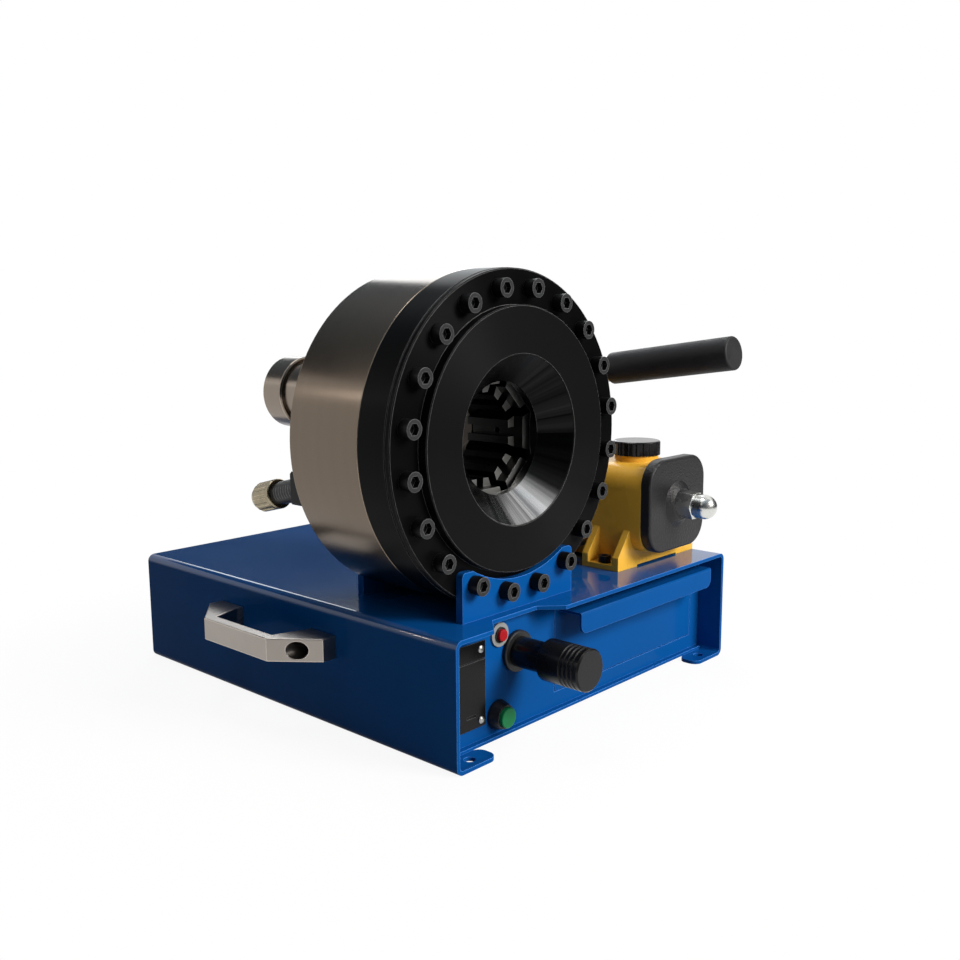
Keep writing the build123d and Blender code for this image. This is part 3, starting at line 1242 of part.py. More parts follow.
save("pump_body", pump_body())
save("tank_cover", tank_cover())
save("dome_nut", dome_nut())
save("filler_cap", filler_cap())
save("pump_bolts", *pump_bolts())
save("pump_plunger", pump_plunger())
save("plunger_gland", plunger_gland())
save("pivot_pin", pivot_pin())
save("release_knob", release_knob())
save("pressure_pipe", pressure_pipe())
save("pipe_fittings", *pipe_fittings())
save("lever_rocker", lever_rocker())
save("lever_bar", lever_bar())
save("lever_grip", lever_grip())
save("start_button_bezel", green_bezel())
save("start_button_cap", green_cap())
save("stop_button_legend", red_ring())
save("stop_button_body", red_body())
save("stop_button_cap", red_cap())
save("battery_cover", cover_plate())
save("battery_cover_screws", *plate_screws())
save("tool_holder", tool_holder())
save("die_change_tool", change_tool())
save("drawer", drawer())
save("drawer_runners", *drawer_runners())
save("left_handle", handle(-1))
save("right_handle", handle(1))
save("handle_bolts", *handle_bolts())
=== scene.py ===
import math
import bmesh
import bpy
from mathutils import Matrix, Vector


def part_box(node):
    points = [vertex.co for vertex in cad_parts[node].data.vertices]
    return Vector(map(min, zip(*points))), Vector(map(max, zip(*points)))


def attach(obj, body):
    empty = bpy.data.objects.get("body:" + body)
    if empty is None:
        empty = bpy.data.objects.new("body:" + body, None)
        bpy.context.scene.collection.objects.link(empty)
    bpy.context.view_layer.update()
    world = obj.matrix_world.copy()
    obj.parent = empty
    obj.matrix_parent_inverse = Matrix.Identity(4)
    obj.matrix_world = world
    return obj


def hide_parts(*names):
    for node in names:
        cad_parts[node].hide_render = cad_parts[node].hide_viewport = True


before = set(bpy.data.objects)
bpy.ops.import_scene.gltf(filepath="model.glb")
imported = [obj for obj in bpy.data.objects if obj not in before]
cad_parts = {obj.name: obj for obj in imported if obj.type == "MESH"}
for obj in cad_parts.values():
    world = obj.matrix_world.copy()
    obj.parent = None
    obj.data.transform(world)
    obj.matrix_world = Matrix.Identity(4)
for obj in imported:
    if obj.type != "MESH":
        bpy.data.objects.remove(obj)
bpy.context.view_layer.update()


# ---- Floor, backdrop, lamps and camera ----
# A plain pale sweep stands in for a photographer's table. A large lamp high on the operator's right leaves the
# left wall of the base in shade; weaker ones stand above, in front and behind, with a narrow strip on the left.
WHITE = (1, 1, 1, 1)
ROOM_COLOUR = (0.96, 0.98, 1.0, 1)
ROOM_LOW, ROOM_HIGH = 0.02, 0.17        # strength of the room's light at the horizon and overhead
FLOOR_REACH = 9.0
WHITE_FROM, WHITE_TO = 0.34, 0.62       # distances between which the paper turns to plain white
WHITE_LEAST = 0.92                      # share of plain white close to the machine
PAPER_TONE = 0.26                       # how light the paper is for the light that falls on it
CARD_STEP = 10                          # degrees between the corners of a bent card
CARD_COLOUR = (0.80, 0.98, 1.15, 1)
CARD_LOW, CARD_HIGH = 1.1, 2.1          # heights between which the cards grow paler
CARD_DARK, CARD_PALE = 0.05, 0.34
SENSOR_WIDTH, LENS = 36, 39.55
CAMERA_PLACE = (-0.8631, -0.8667, 0.4099)
CAMERA_YAW = math.radians(47.401)
CAMERA_PITCH = math.radians(9.145)
CAMERA_ROLL = math.radians(-0.348)

# First and last compass angle, lower and upper height, distance at the lower and at the upper edge.
BLACK_CARDS = (
    (-180, 0, 0.01, 1.15, 1.7, 1.7),
    (-170, -50, 1.15, 2.6, 1.7, 0.9),
    (46, 105, 0.01, 0.70, 1.7, 1.7),
    (58, 136, 1.10, 2.3, 1.75, 1.15),
)
# Name, place, target, size, power, colour.
LAMPS = (
    ("key_lamp", (0.7, -2.4, 1.5), (0.0, -0.1, 0.2), 1.1, 84, (1.0, 0.98, 0.95)),
    ("top_lamp", (-0.2, 0.3, 2.5), (-0.1, 0.0, 0.2), 0.9, 15, (0.95, 0.98, 1.0)),
    ("rear_lamp", (1.5, 1.9, 1.45), (-0.1, 0.0, 0.2), 1.8, 26, (0.90, 0.96, 1.0)),
    ("strip_lamp", (-1.95, 1.73, 1.22), (-0.1, 0.0, 0.25), 0.10, 1.1, (1.0, 0.97, 0.92)),
    ("front_lamp", (-0.3, -2.4, 0.9), (0.2, -0.1, 0.2), 0.8, 10, (1.0, 0.97, 0.93)),
)

scene = bpy.context.scene
scene.view_settings.view_transform = "Standard"


def node_kit(tree):
    """A short way to add a node with settings and to link sockets in one material or group."""
    def add(kind, inputs=None, **settings):
        node = tree.nodes.new(kind)
        for name, value in settings.items():
            setattr(node, name, value)
        for name, value in (inputs or {}).items():
            if isinstance(value, bpy.types.NodeSocket):
                tree.links.new(value, node.inputs[name])
            else:
                node.inputs[name].default_value = value
        return node
    return add


def empty_material(name):
    made = bpy.data.materials.new(name)
    made.use_nodes = True
    made.node_tree.nodes.clear()
    return made, node_kit(made.node_tree)


def maths(add, operation, first, second=0.0):
    """Socket with the result of one sum."""
    return add("ShaderNodeMath", {0: first, 1: second}, operation=operation).outputs[0]


def ramp(add, value, first, last, low=0.0, high=1.0, **settings):
    """Socket that runs from low to high while the value runs from first to last."""
    return add("ShaderNodeMapRange", {"Value": value, "From Min": first, "From Max": last,
                                      "To Min": low, "To Max": high}, **settings).outputs[0]


def object_place(add):
    """Socket with the place in the object's own metres."""
    return add("ShaderNodeTexCoord").outputs["Object"]


def parts_of(add, vector):
    """The X, Y and Z sockets of a vector."""
    return add("ShaderNodeSeparateXYZ", {0: vector}).outputs


def seen_directly(add):
    """Mask of the rays that should meet the plain white background."""
    path = add("ShaderNodeLightPath").outputs
    either = maths(add, "MAXIMUM", path["Is Camera Ray"], path["Is Transmission Ray"])
    return maths(add, "MAXIMUM", either, path["Is Glossy Ray"])


def staged(name, mesh, material):
    """Puts a mesh of the studio, which isn't part of the machine, in the scene with its material."""
    mesh.materials.append(material)
    thing = bpy.data.objects.new(name, mesh)
    scene.collection.objects.link(thing)
    return thing


def bent_card(shell, first, last, low, high, near, far):
    """Curved card between two compass angles, from one height and distance to another."""
    steps = max(2, round((last - first) / CARD_STEP))
    rows = []
    for height, distance in ((low, near), (high, far)):
        angles = [math.radians(first + (last - first) * step / steps) for step in range(steps + 1)]
        rows.append([shell.verts.new((distance * math.cos(a), distance * math.sin(a), height))
                     for a in angles])
    for step in range(steps):
        shell.faces.new((rows[0][step], rows[0][step + 1], rows[1][step + 1], rows[1][step]))


def soft_lamp(name, place, target, size, power, colour):
    """Square area lamp aimed at a point."""
    lamp = bpy.data.lights.new(name, "AREA")
    lamp.size = size
    lamp.energy = power
    lamp.color = colour
    holder = bpy.data.objects.new(name, lamp)
    holder.location = place
    holder.rotation_euler = (Vector(target) - Vector(place)).to_track_quat("-Z", "Y").to_euler()
    scene.collection.objects.link(holder)


world = bpy.data.worlds.new("studio")
scene.world = world
world.use_nodes = True
world.node_tree.nodes.clear()
add = node_kit(world.node_tree)
direction = parts_of(add, add("ShaderNodeTexCoord").outputs["Generated"])
room = add("ShaderNodeBackground", {"Color": ROOM_COLOUR,
                                    "Strength": ramp(add, direction["Z"], -0.1, 0.8, ROOM_LOW, ROOM_HIGH)})
white = add("ShaderNodeBackground", {"Color": WHITE, "Strength": 1.0})
mixed = add("ShaderNodeMixShader", {0: seen_directly(add), 1: room.outputs[0], 2: white.outputs[0]})
add("ShaderNodeOutputWorld", {0: mixed.outputs[0]})

paper, add = empty_material("white_paper")
away = add("ShaderNodeVectorMath", {0: object_place(add)}, operation="LENGTH").outputs["Value"]
seen = seen_directly(add)
share = maths(add, "MULTIPLY", seen, ramp(add, away, WHITE_FROM, WHITE_TO, WHITE_LEAST))
lit = add("ShaderNodeBsdfDiffuse", {"Color": ramp(add, seen, 0.0, 1.0, PAPER_TONE)})
glow = add("ShaderNodeEmission", {"Color": WHITE, "Strength": 1.0})
mixed = add("ShaderNodeMixShader", {0: share, 1: lit.outputs[0], 2: glow.outputs[0]})
add("ShaderNodeOutputMaterial", {0: mixed.outputs[0]})
floor_mesh = bpy.data.meshes.new("floor")
corners = [(x * FLOOR_REACH, y * FLOOR_REACH, 0) for x, y in ((-1, -1), (1, -1), (1, 1), (-1, 1))]
floor_mesh.from_pydata(corners, [], [(0, 1, 2, 3)])
staged("floor", floor_mesh, paper)

# Black cards stand round the table, out of view, so that the dark glossy parts keep their depth.
felt, add = empty_material("black_felt")
sky = ramp(add, parts_of(add, object_place(add))["Z"], CARD_LOW, CARD_HIGH, CARD_DARK, CARD_PALE)
dark = add("ShaderNodeEmission", {"Color": CARD_COLOUR, "Strength": sky})
add("ShaderNodeOutputMaterial", {0: dark.outputs[0]})
shell = bmesh.new()
for card in BLACK_CARDS:
    bent_card(shell, *card)
card_mesh = bpy.data.meshes.new("black_cards")
shell.to_mesh(card_mesh)
shell.free()
cards = staged("black_cards", card_mesh, felt)
cards.visible_camera = False
cards.visible_diffuse = False
cards.visible_shadow = False

for lamp_values in LAMPS:
    soft_lamp(*lamp_values)

camera_data = bpy.data.cameras.new("camera")
camera_data.sensor_width = SENSOR_WIDTH
camera_data.lens = LENS
camera_data.clip_start = 0.01
camera = bpy.data.objects.new("camera", camera_data)
turn = Matrix.Rotation(-CAMERA_YAW, 4, "Z") @ Matrix.Rotation(math.pi / 2 - CAMERA_PITCH, 4, "X")
camera.matrix_world = Matrix.Translation(CAMERA_PLACE) @ turn @ Matrix.Rotation(CAMERA_ROLL, 4, "Z")
scene.collection.objects.link(camera)
scene.camera = camera


# ---- Base housing ----
# The base is bent from 4 mm steel sheet and powder coated in a deep gloss blue: cover, floor sheet, front
# and rear panels, the drawer with its folded lip, and the two saddles that carry the crimping head.
EDGE_FROM, EDGE_TO = 0.995, 0.90        # how far the rounded normal turns away before it counts as an edge
COAT_FROM, COAT_TO = 0.06, 0.30         # how far up a face looks, from almost no clear coat to a full one
COAT_LEAST, COAT_ROUGH = 0.02, 0.06


def new_group(name, inputs, outputs):
    """Empty node group with float inputs and the named outputs; returns it with its in and out nodes."""
    group = bpy.data.node_groups.new(name, "ShaderNodeTree")
    for socket, value in inputs.items():
        made = group.interface.new_socket(socket, in_out="INPUT", socket_type="NodeSocketFloat")
        made.default_value = value
    for socket, kind in outputs.items():
        group.interface.new_socket(socket, in_out="OUTPUT", socket_type=kind)
    return group, group.nodes.new("NodeGroupInput").outputs, group.nodes.new("NodeGroupOutput").inputs


def soft_edge_group():
    """Rounds sharp edges by shading and gives a mask that is 1 along them."""
    group, given, result = new_group("soft_edge", {"Radius": 0.0006},
                                     {"Normal": "NodeSocketVector", "Edge": "NodeSocketFloat"})
    add = node_kit(group)
    bevel = add("ShaderNodeBevel", {"Radius": given["Radius"]}, samples=6)
    plain = add("ShaderNodeNewGeometry")
    agree = add("ShaderNodeVectorMath", {0: bevel.outputs[0], 1: plain.outputs["Normal"]},
                operation="DOT_PRODUCT")
    group.links.new(bevel.outputs[0], result["Normal"])
    group.links.new(ramp(add, agree.outputs["Value"], EDGE_FROM, EDGE_TO), result["Edge"])
    return group


def mottle_group():
    """Cloudy variation at one scale, from 0 to 1, and a fine grain for bump."""
    group, given, result = new_group("mottle", {"Cloud Scale": 9.0, "Grain Scale": 900.0},
                                     {"Cloud": "NodeSocketFloat", "Grain": "NodeSocketFloat"})
    add = node_kit(group)
    place = object_place(add)
    cloud = add("ShaderNodeTexNoise", {"Vector": place, "Scale": given["Cloud Scale"], "Detail": 5.0})
    grain = add("ShaderNodeTexNoise", {"Vector": place, "Scale": given["Grain Scale"], "Detail": 3.0})
    group.links.new(ramp(add, cloud.outputs[0], 0.3, 0.7), result["Cloud"])
    group.links.new(grain.outputs[0], result["Grain"])
    return group


soft_edge = soft_edge_group()
mottle = mottle_group()


def grouped(add, group, **values):
    """Outputs of a shared group that is placed in a material with its own values."""
    node = add("ShaderNodeGroup", node_tree=group)
    for name, value in values.items():
        node.inputs[name.replace("_", " ")].default_value = value
    return node.outputs


def opaque(colour, factor=1.0, lift=0.0):
    """Colour with full alpha, made brighter or darker."""
    return tuple(min(1, channel * factor + lift) for channel in colour) + (1,)


def blend(add, share, first, second):
    """Socket with the colour between two others, by a share from 0 to 1."""
    return add("ShaderNodeMix", {0: share, 6: first, 7: second}, data_type="RGBA").outputs[2]


def relief_of(add, height, depth, normal):
    """Socket with a normal that carries a fine relief, depth metres deep."""
    return add("ShaderNodeBump", {"Height": height, "Distance": depth, "Strength": 1.0,
                                  "Normal": normal}).outputs[0]


def shader_into(add, **values):
    """Main shader of a material, joined to its output."""
    shader = add("ShaderNodeBsdfPrincipled", {name.replace("_", " "): value for name, value in values.items()})
    add("ShaderNodeOutputMaterial", {0: shader.outputs[0]})


def finish_of(name, colour, variation, rough, bump, cloud=9.0, grain=900.0, edge=0.0006, wear_and_sheen_lift=1.6,
              wear_and_sheen_pale=0.01, **constants):
    """Material with cloudy colour and roughness, a fine grain, and edges painted lighter, partly as wear and
    partly as a painted highlight.

    variation is how much darker the clouds go, rough is (least, most) and bump is the grain's depth in metres.
    """
    made, add = empty_material(name)
    clouds = grouped(add, mottle, Cloud_Scale=cloud, Grain_Scale=grain)
    edges = grouped(add, soft_edge, Radius=edge)
    paint = blend(add, clouds["Cloud"], opaque(colour, 1 - variation), opaque(colour))
    # Edges get a lighter colour: partly wear, partly a painted highlight.
    shader_into(add, Base_Color=blend(add, edges["Edge"], paint, opaque(colour, wear_and_sheen_lift, wear_and_sheen_pale)),
                Roughness=ramp(add, clouds["Cloud"], 0.0, 1.0, *rough),
                Normal=relief_of(add, clouds["Grain"], bump, edges["Normal"]), **constants)
    return made


def shader_of(material):
    """The main shader of a material."""
    return next(node for node in material.node_tree.nodes if node.type == "BSDF_PRINCIPLED")


def dress(material, *nodes):
    """Gives CAD nodes a material in every slot they have."""
    for name in nodes:
        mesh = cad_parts[name].data
        if not mesh.materials:
            mesh.materials.append(material)
        for number in range(len(mesh.materials)):
            mesh.materials[number] = material


# The blue's edges are painted pale blue, partly wear and partly a painted highlight.
blue_paint = finish_of("blue_powder_coat", (0.003, 0.085, 0.32), 0.10, (0.14, 0.22), 0.00003, cloud=7.0,
                       grain=350.0, edge=0.0009, wear_and_sheen_lift=2.4, wear_and_sheen_pale=0.08, Specular_IOR_Level=0.01)
add = node_kit(blue_paint.node_tree)
facing = parts_of(add, add("ShaderNodeNewGeometry").outputs["Normal"])
coated = shader_of(blue_paint).inputs
blue_paint.node_tree.links.new(ramp(add, facing["Z"], COAT_FROM, COAT_TO, COAT_LEAST), coated["Coat Weight"])
coated["Coat Roughness"].default_value = COAT_ROUGH
dress(blue_paint, "base_cover", "bottom_plate", "front_panel", "rear_panel", "front_saddle", "rear_saddle",
      "drawer")


# ---- Zinc plated small parts ----
# Runners, pipe, pipe nuts, springs, gland, pin and the four panel screws are bought in, of zinc plated steel.
# The plating is a soft grey with faint clouds, and it dulls with handling.
zinc = finish_of("zinc_plate", (0.52, 0.52, 0.50), 0.25, (0.30, 0.46), 0.00001, cloud=60.0, grain=1800.0,
                 edge=0.0003, wear_and_sheen_lift=1.2, Metallic=1.0)
dress(zinc, "drawer_runners", "pressure_pipe", "pipe_fittings", "return_springs", "battery_cover_screws",
      "plunger_gland", "pivot_pin")


# ---- Turned steel of the head ----
# Barrel, piston, rods and spring housings are turned from bar and left bare, oiled. The tool leaves fine
# rings round the head's axis, which pull the reflections out along it.
RING_PITCH = 900.0
RING_DEPTH = 0.000006
BAND_PITCH = 90.0
BAND_DARK, BAND_LIGHT = 0.97, 1.02
STREAK_SCALE = 7.0
# Edges of the turned parts are painted lighter: a painted highlight.
TURNED_EDGE, TURNED_EDGE_HIGHLIGHT = 0.0009, 3.2
GRAIN_TURN = 0.25                       # quarter turn, so that the glints run across the tool rings
head_low, head_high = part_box("barrel")
head_x = (head_low.x + head_high.x) / 2
head_z = (head_low.z + head_high.z) / 2


def turned_group():
    """Distance from the head's axis, and fine tool rings along the axis and across the faces."""
    group, given, result = new_group("turned_rings",
                                     {"Centre X": head_x, "Centre Z": head_z, "Pitch": RING_PITCH},
                                     {"Radius": "NodeSocketFloat", "Rings": "NodeSocketFloat",
                                      "Bands": "NodeSocketFloat", "Streaks": "NodeSocketFloat"})
    add = node_kit(group)
    place = parts_of(add, object_place(add))
    across = maths(add, "SUBTRACT", place["X"], given["Centre X"])
    upward = maths(add, "SUBTRACT", place["Z"], given["Centre Z"])
    flat = add("ShaderNodeCombineXYZ", {0: across, 1: upward}).outputs[0]
    radius = add("ShaderNodeVectorMath", {0: flat}, operation="LENGTH").outputs["Value"]
    along = add("ShaderNodeCombineXYZ", {0: radius, 1: place["Y"]}).outputs[0]
    aim = add("ShaderNodeVectorMath", {0: flat}, operation="NORMALIZE").outputs[0]
    rings = add("ShaderNodeTexNoise", {"Vector": along, "Scale": given["Pitch"], "Detail": 2.0})
    bands = add("ShaderNodeTexNoise", {"Vector": along, "Scale": BAND_PITCH, "Detail": 4.0})
    streaks = add("ShaderNodeTexNoise", {"Vector": aim, "Scale": STREAK_SCALE, "Detail": 9.0,
                                         "Roughness": 0.62})
    for name, socket in (("Radius", radius), ("Rings", rings.outputs[0]), ("Bands", bands.outputs[0]),
                         ("Streaks", streaks.outputs[0])):
        group.links.new(socket, result[name])
    return group


turned = turned_group()


def turned_metal(name, colour, rough, anisotropy):
    """Bare turned metal with rings about the head's axis, and edges painted lighter as a painted highlight."""
    made, add = empty_material(name)
    rings = grouped(add, turned, Pitch=RING_PITCH)
    clouds = grouped(add, mottle, Cloud_Scale=5.0)
    edges = grouped(add, soft_edge, Radius=TURNED_EDGE)
    tone = ramp(add, rings["Bands"], 0.3, 0.7, BAND_DARK, BAND_LIGHT)
    base = add("ShaderNodeVectorMath", {0: colour, "Scale": tone}, operation="SCALE").outputs[0]
    tangent = add("ShaderNodeTangent", direction_type="RADIAL", axis="Y").outputs[0]
    shader_into(add, Base_Color=blend(add, edges["Edge"], base, opaque(colour, TURNED_EDGE_HIGHLIGHT)),
                Roughness=ramp(add, clouds["Cloud"], 0.0, 1.0, *rough),
                Normal=relief_of(add, rings["Rings"], RING_DEPTH, edges["Normal"]),
                Tangent=tangent, Metallic=1.0, Anisotropic=anisotropy, Anisotropic_Rotation=GRAIN_TURN)
    return made


dress(turned_metal("turned_steel", (0.150, 0.118, 0.090), (0.18, 0.28), 0.45), "barrel")
dress(turned_metal("bright_turned_steel", (0.24, 0.20, 0.165), (0.18, 0.28), 0.45),
      "spring_necks", "spring_caps", "return_rods", "micrometer_spindle", "pump_plunger", "lever_bar")
# Piston and tail plate sit inside the head, so their steel is painted far darker: painted shade.
dress(turned_metal("inner_steel_painted_shade", (0.035, 0.031, 0.027), (0.30, 0.42), 0.3), "piston", "tail_plate")


# ---- End cap ----
# The front flange is one heavy turning in black oxide, semi-matt on its faces. Its mouth is a wide cone of bare
# metal, painted lighter in radial streaks towards its bottom: a painted glint.
BOSS_RADIUS = 0.127
MOUTH_RADIUS = 0.082
CAP_RING_PITCH = 700.0
CAP_RING_DEPTH = 0.000014
FLANGE_BLACK = (0.0025, 0.0025, 0.0028, 1)
BOSS_BLACK = (0.0060, 0.0060, 0.0064, 1)
# Edges of the cap are painted grey: a painted highlight.
EDGE_HIGHLIGHT_GREY = (0.20, 0.20, 0.20, 1)
GLINT_LEAST, GLINT_MOST = 0.10, 0.55
GLINT_FROM, GLINT_TO = 0.66, 0.985        # painted glint towards the bottom of the cone: share of straight down
GLINT_BELOW_LEAST = 0.03
cap_black, add = empty_material("black_oxide_turned")
rings = grouped(add, turned, Pitch=CAP_RING_PITCH)
edges = grouped(add, soft_edge, Radius=0.0008)
cone = ramp(add, rings["Radius"], MOUTH_RADIUS - 0.0004, MOUTH_RADIUS - 0.0014)
boss = ramp(add, rings["Radius"], BOSS_RADIUS + 0.0002, BOSS_RADIUS - 0.0002)
# Radial streaks, strongest at the bottom of the cone, are painted lighter: a painted glint.
glint_streaks = ramp(add, rings["Streaks"], 0.36, 0.62, GLINT_LEAST, GLINT_MOST)
below = maths(add, "SUBTRACT", head_z, parts_of(add, object_place(add))["Z"])
glint_below = ramp(add, maths(add, "DIVIDE", below, rings["Radius"]), GLINT_FROM, GLINT_TO, GLINT_BELOW_LEAST,
               interpolation_type="SMOOTHSTEP")
bare = blend(add, cone, blend(add, boss, FLANGE_BLACK, BOSS_BLACK), maths(add, "MULTIPLY", glint_streaks, glint_below))
tangent = add("ShaderNodeTangent", direction_type="RADIAL", axis="Y").outputs[0]
shader_into(add, Base_Color=blend(add, edges["Edge"], bare, EDGE_HIGHLIGHT_GREY),
            Roughness=ramp(add, cone, 0.0, 1.0, 0.36, 0.24),
            Normal=relief_of(add, rings["Rings"], CAP_RING_DEPTH, edges["Normal"]),
            Metallic=cone, Tangent=tangent, Anisotropic=0.8, Specular_IOR_Level=0.05,
            Anisotropic_Rotation=GRAIN_TURN)
dress(cap_black, "end_cap")


# ---- Dies ----
# Eight wedges of hardened tool steel, dark, with the faces that point straight out of the mouth a light grey,
# where the ears show.
DIE_COUNT = 8
DIE_DARK = (0.010, 0.0095, 0.009, 1)
FRONT_FACE_GREY = (0.30, 0.30, 0.29, 1)
die_steel, add = empty_material("die_steel")
edges = grouped(add, soft_edge, Radius=0.0004)
clouds = grouped(add, mottle, Cloud_Scale=40.0, Grain_Scale=1500.0)
facing = parts_of(add, add("ShaderNodeNewGeometry").outputs["Normal"])
# Faces that point out of the mouth are light grey, all others dark.
shader_into(add, Base_Color=blend(add, ramp(add, facing["Y"], -0.9, -0.98), DIE_DARK, FRONT_FACE_GREY),
            Roughness=ramp(add, clouds["Cloud"], 0.0, 1.0, 0.30, 0.48),
            Normal=relief_of(add, clouds["Grain"], 0.00001, edges["Normal"]), Metallic=0.9)
dress(die_steel, *[f"die_{number}" for number in range(1, DIE_COUNT + 1)])


# ---- Black oxide fasteners and tools ----
# Socket screws, the lever's rocker and the die change tool are blackened steel, slightly oily. The sixteen screws
# beside the saddle sit straight on the flange, and the flat end of each head is greyer; their edges are painted
# light grey, partly wear and partly a painted highlight.
SEAT_DROP = 0.008
SADDLE_TANGENT = math.tan(math.radians(36))     # the saddle's screws are within 36 degrees of straight down
HEAD_END = 0.001
HEAD_END_GREY = (0.033, 0.034, 0.035, 1)


def paint_over(material, share, colour):
    """Lays a second colour on a finish where the share is 1, under its lighter edges, which are partly wear and
    partly a painted highlight.
    """
    add = node_kit(material.node_tree)
    paint_under_edges = shader_of(material).inputs["Base Color"].links[0].from_node.inputs[6]
    material.node_tree.links.new(blend(add, share, paint_under_edges.links[0].from_socket, colour), paint_under_edges)


# Edges are painted much lighter, partly wear and partly a painted highlight.
oxide = finish_of("black_oxide", (0.010, 0.010, 0.0105), 0.3, (0.28, 0.40), 0.00001, cloud=80.0, grain=1500.0,
                  edge=0.0007, wear_and_sheen_lift=9.0, Specular_IOR_Level=0.15)
dress(oxide, "bolt_spacers", "saddle_bolts", "pump_bolts", "handle_bolts", "lever_rocker", "micrometer_block")
cap_screws = bpy.data.objects.new("cap_screws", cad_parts["flange_bolts"].data.copy())
scene.collection.objects.link(cap_screws)
for corner in cap_screws.data.vertices:
    across, upward = corner.co.x - head_x, corner.co.z - head_z
    if abs(across) > -upward * SADDLE_TANGENT or upward > 0:
        corner.co.y += SEAT_DROP
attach(cap_screws, "machine_frame")
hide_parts("flange_bolts", "bolt_spacers")
screw_end = finish_of("screw_heads_edge_wear_and_highlight", (0.009, 0.009, 0.0095), 0.3, (0.28, 0.40), 0.00001, cloud=80.0,
                      grain=1500.0, edge=0.0007, wear_and_sheen_lift=24.0, Specular_IOR_Level=0.1)
add = node_kit(screw_end.node_tree)
head_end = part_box("flange_bolts")[0].y + SEAT_DROP + HEAD_END
outer = maths(add, "LESS_THAN", parts_of(add, object_place(add))["Y"], head_end)
flat = maths(add, "LESS_THAN", parts_of(add, add("ShaderNodeNewGeometry").outputs["Normal"])["Y"], -0.9)
paint_over(screw_end, maths(add, "MULTIPLY", outer, flat), HEAD_END_GREY)
cap_screws.data.materials.clear()
cap_screws.data.materials.append(screw_end)
tool_black = finish_of("tool_black", (0.008, 0.008, 0.0085), 0.3, (0.20, 0.32), 0.00001, cloud=30.0,
                       grain=1200.0, edge=0.0007, wear_and_sheen_lift=4.0, Specular_IOR_Level=0.22)
dress(tool_black, "die_change_tool")


# ---- Side handles ----
# The two handles are milled aluminium, bead blasted and anodised in a warm champagne tone, with edges painted
# brighter: partly rubbed by hands, partly a painted highlight.
champagne = finish_of("satin_aluminium", (0.34, 0.305, 0.275), 0.12, (0.26, 0.34), 0.00002, cloud=25.0,
                      grain=2200.0, edge=0.0011, wear_and_sheen_lift=2.4, Metallic=1.0)
dress(champagne, "left_handle", "right_handle")


# ---- Micrometer ----
# The stop's thimble is fluted and nickel plated in a straw tone. Its sleeve is black anodised and carries a plain
# engraved scale: short white lines in rings round its tilted axis, one every four millimetres.
TILT = math.radians(14)
LINE_PITCH = 0.004
LINE_SHARE = 0.16
SCALE_EDGE = 0.0098                     # the lines begin this far left of the sleeve's axis
LINE_WHITE = (0.30, 0.30, 0.29, 1)
straw = finish_of("straw_nickel", (0.34, 0.29, 0.20), 0.30, (0.24, 0.34), 0.00002, cloud=120.0,
                  grain=1600.0, edge=0.0007, wear_and_sheen_lift=2.2, Metallic=1.0)
dress(straw, "micrometer_knob")
scale_black = finish_of("engraved_sleeve", (0.012, 0.012, 0.0125), 0.2, (0.30, 0.42), 0.00001, cloud=20.0,
                        grain=1400.0, edge=0.0006, wear_and_sheen_lift=3.5, Specular_IOR_Level=0.3)
sleeve_low, sleeve_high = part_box("micrometer_sleeve")
scale_x = (sleeve_low.x + sleeve_high.x) / 2 - SCALE_EDGE
add = node_kit(scale_black.node_tree)
place = object_place(add)
along = add("ShaderNodeVectorMath", {0: place, 1: (0, math.cos(TILT), -math.sin(TILT))},
            operation="DOT_PRODUCT").outputs["Value"]
ring_line = maths(add, "LESS_THAN", maths(add, "FRACT", maths(add, "DIVIDE", along, LINE_PITCH)), LINE_SHARE)
left_side = maths(add, "LESS_THAN", parts_of(add, place)["X"], scale_x)
paint_over(scale_black, maths(add, "MULTIPLY", ring_line, left_side), LINE_WHITE)
dress(scale_black, "micrometer_sleeve")


# ---- Cover of the battery box ----
# A pressed plate on the front panel is painted black with a hard gloss; its folded line and its edges are painted
# much lighter, a painted highlight.
plate_black = finish_of("black_plate", (0.0055, 0.0055, 0.006), 0.2, (0.22, 0.32), 0.00001, cloud=30.0,
                        grain=900.0, edge=0.0006, wear_and_sheen_lift=16.0, Specular_IOR_Level=0.14)
dress(plate_black, "battery_cover")


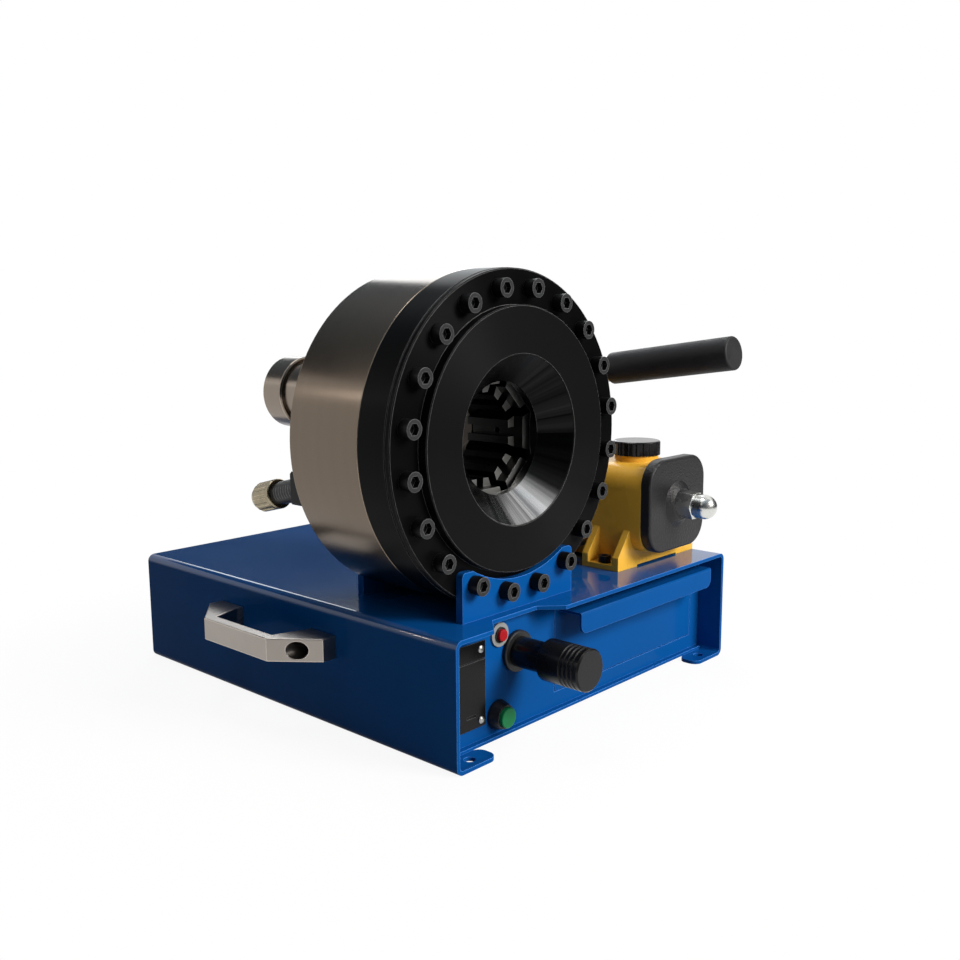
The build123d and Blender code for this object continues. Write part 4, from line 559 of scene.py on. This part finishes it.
# ---- Hand pump ----
# The pump is a yellow enamelled casting with a black moulded cover over the tank's front, a chromed dome nut
# on it, and a ribbed screw cap over the filler.
amber = finish_of("amber_enamel", (0.92, 0.50, 0.055), 0.16, (0.24, 0.36), 0.00009, cloud=14.0, grain=260.0,
                  edge=0.0012, wear_and_sheen_lift=1.3, Specular_IOR_Level=0.3)
dress(amber, "pump_body")
leathery = finish_of("grained_moulding", (0.016, 0.015, 0.016), 0.2, (0.32, 0.44), 0.0006, cloud=20.0,
                     grain=480.0, edge=0.0010, wear_and_sheen_lift=2.5, Specular_IOR_Level=0.35)
dress(leathery, "tank_cover")
chrome = finish_of("worn_chrome", (0.84, 0.84, 0.80), 0.22, (0.22, 0.32), 0.00001, cloud=60.0,
                   grain=700.0, edge=0.0008, wear_and_sheen_lift=1.3, Metallic=1.0)
dress(chrome, "dome_nut")
cap_plastic = finish_of("gloss_black_plastic", (0.010, 0.010, 0.011), 0.2, (0.14, 0.22), 0.000008, cloud=20.0,
                        grain=900.0, edge=0.0006, wear_and_sheen_lift=4.0)
dress(cap_plastic, "filler_cap")


# ---- Grip and seals ----
# The pump handle's grip is a matt black rubber sleeve pushed over the tube, rough at its moulded end. The seals
# are of the same black rubber.
rubber = finish_of("black_rubber", (0.012, 0.011, 0.012), 0.35, (0.48, 0.66), 0.00020, cloud=30.0,
                   grain=520.0, edge=0.0014, wear_and_sheen_lift=3.5, Specular_IOR_Level=0.35)
dress(rubber, "lever_grip", "cylinder_seals", "piston_seals")


# ---- Black mouldings and push buttons ----
# Two panel buttons: a green start cap in a conical collar and a small red stop cap in a pale legend ring. Collar,
# tool holder, limit switch and release knob are plain black mouldings; the caps are moulded through in colour.
moulded = finish_of("black_moulding", (0.012, 0.012, 0.0125), 0.2, (0.34, 0.48), 0.00003, cloud=20.0,
                    grain=1400.0, edge=0.0008, wear_and_sheen_lift=3.5, Specular_IOR_Level=0.35)
dress(moulded, "start_button_bezel", "tool_holder", "limit_switch", "stop_button_body", "release_knob")
green = finish_of("green_moulding", (0.012, 0.26, 0.085), 0.12, (0.25, 0.35), 0.00001, cloud=60.0,
                  grain=900.0, edge=0.0006, wear_and_sheen_lift=1.6, Specular_IOR_Level=0.15)
dress(green, "start_button_cap")
red = finish_of("red_moulding", (0.42, 0.015, 0.02), 0.12, (0.25, 0.35), 0.00001, cloud=60.0, grain=900.0,
                edge=0.0006, wear_and_sheen_lift=1.4, Specular_IOR_Level=0.15)
dress(red, "stop_button_cap")
pale = finish_of("pale_legend", (0.30, 0.31, 0.31), 0.10, (0.35, 0.45), 0.00001, cloud=60.0, grain=900.0,
                 edge=0.0004, wear_and_sheen_lift=1.1)
dress(pale, "stop_button_legend")
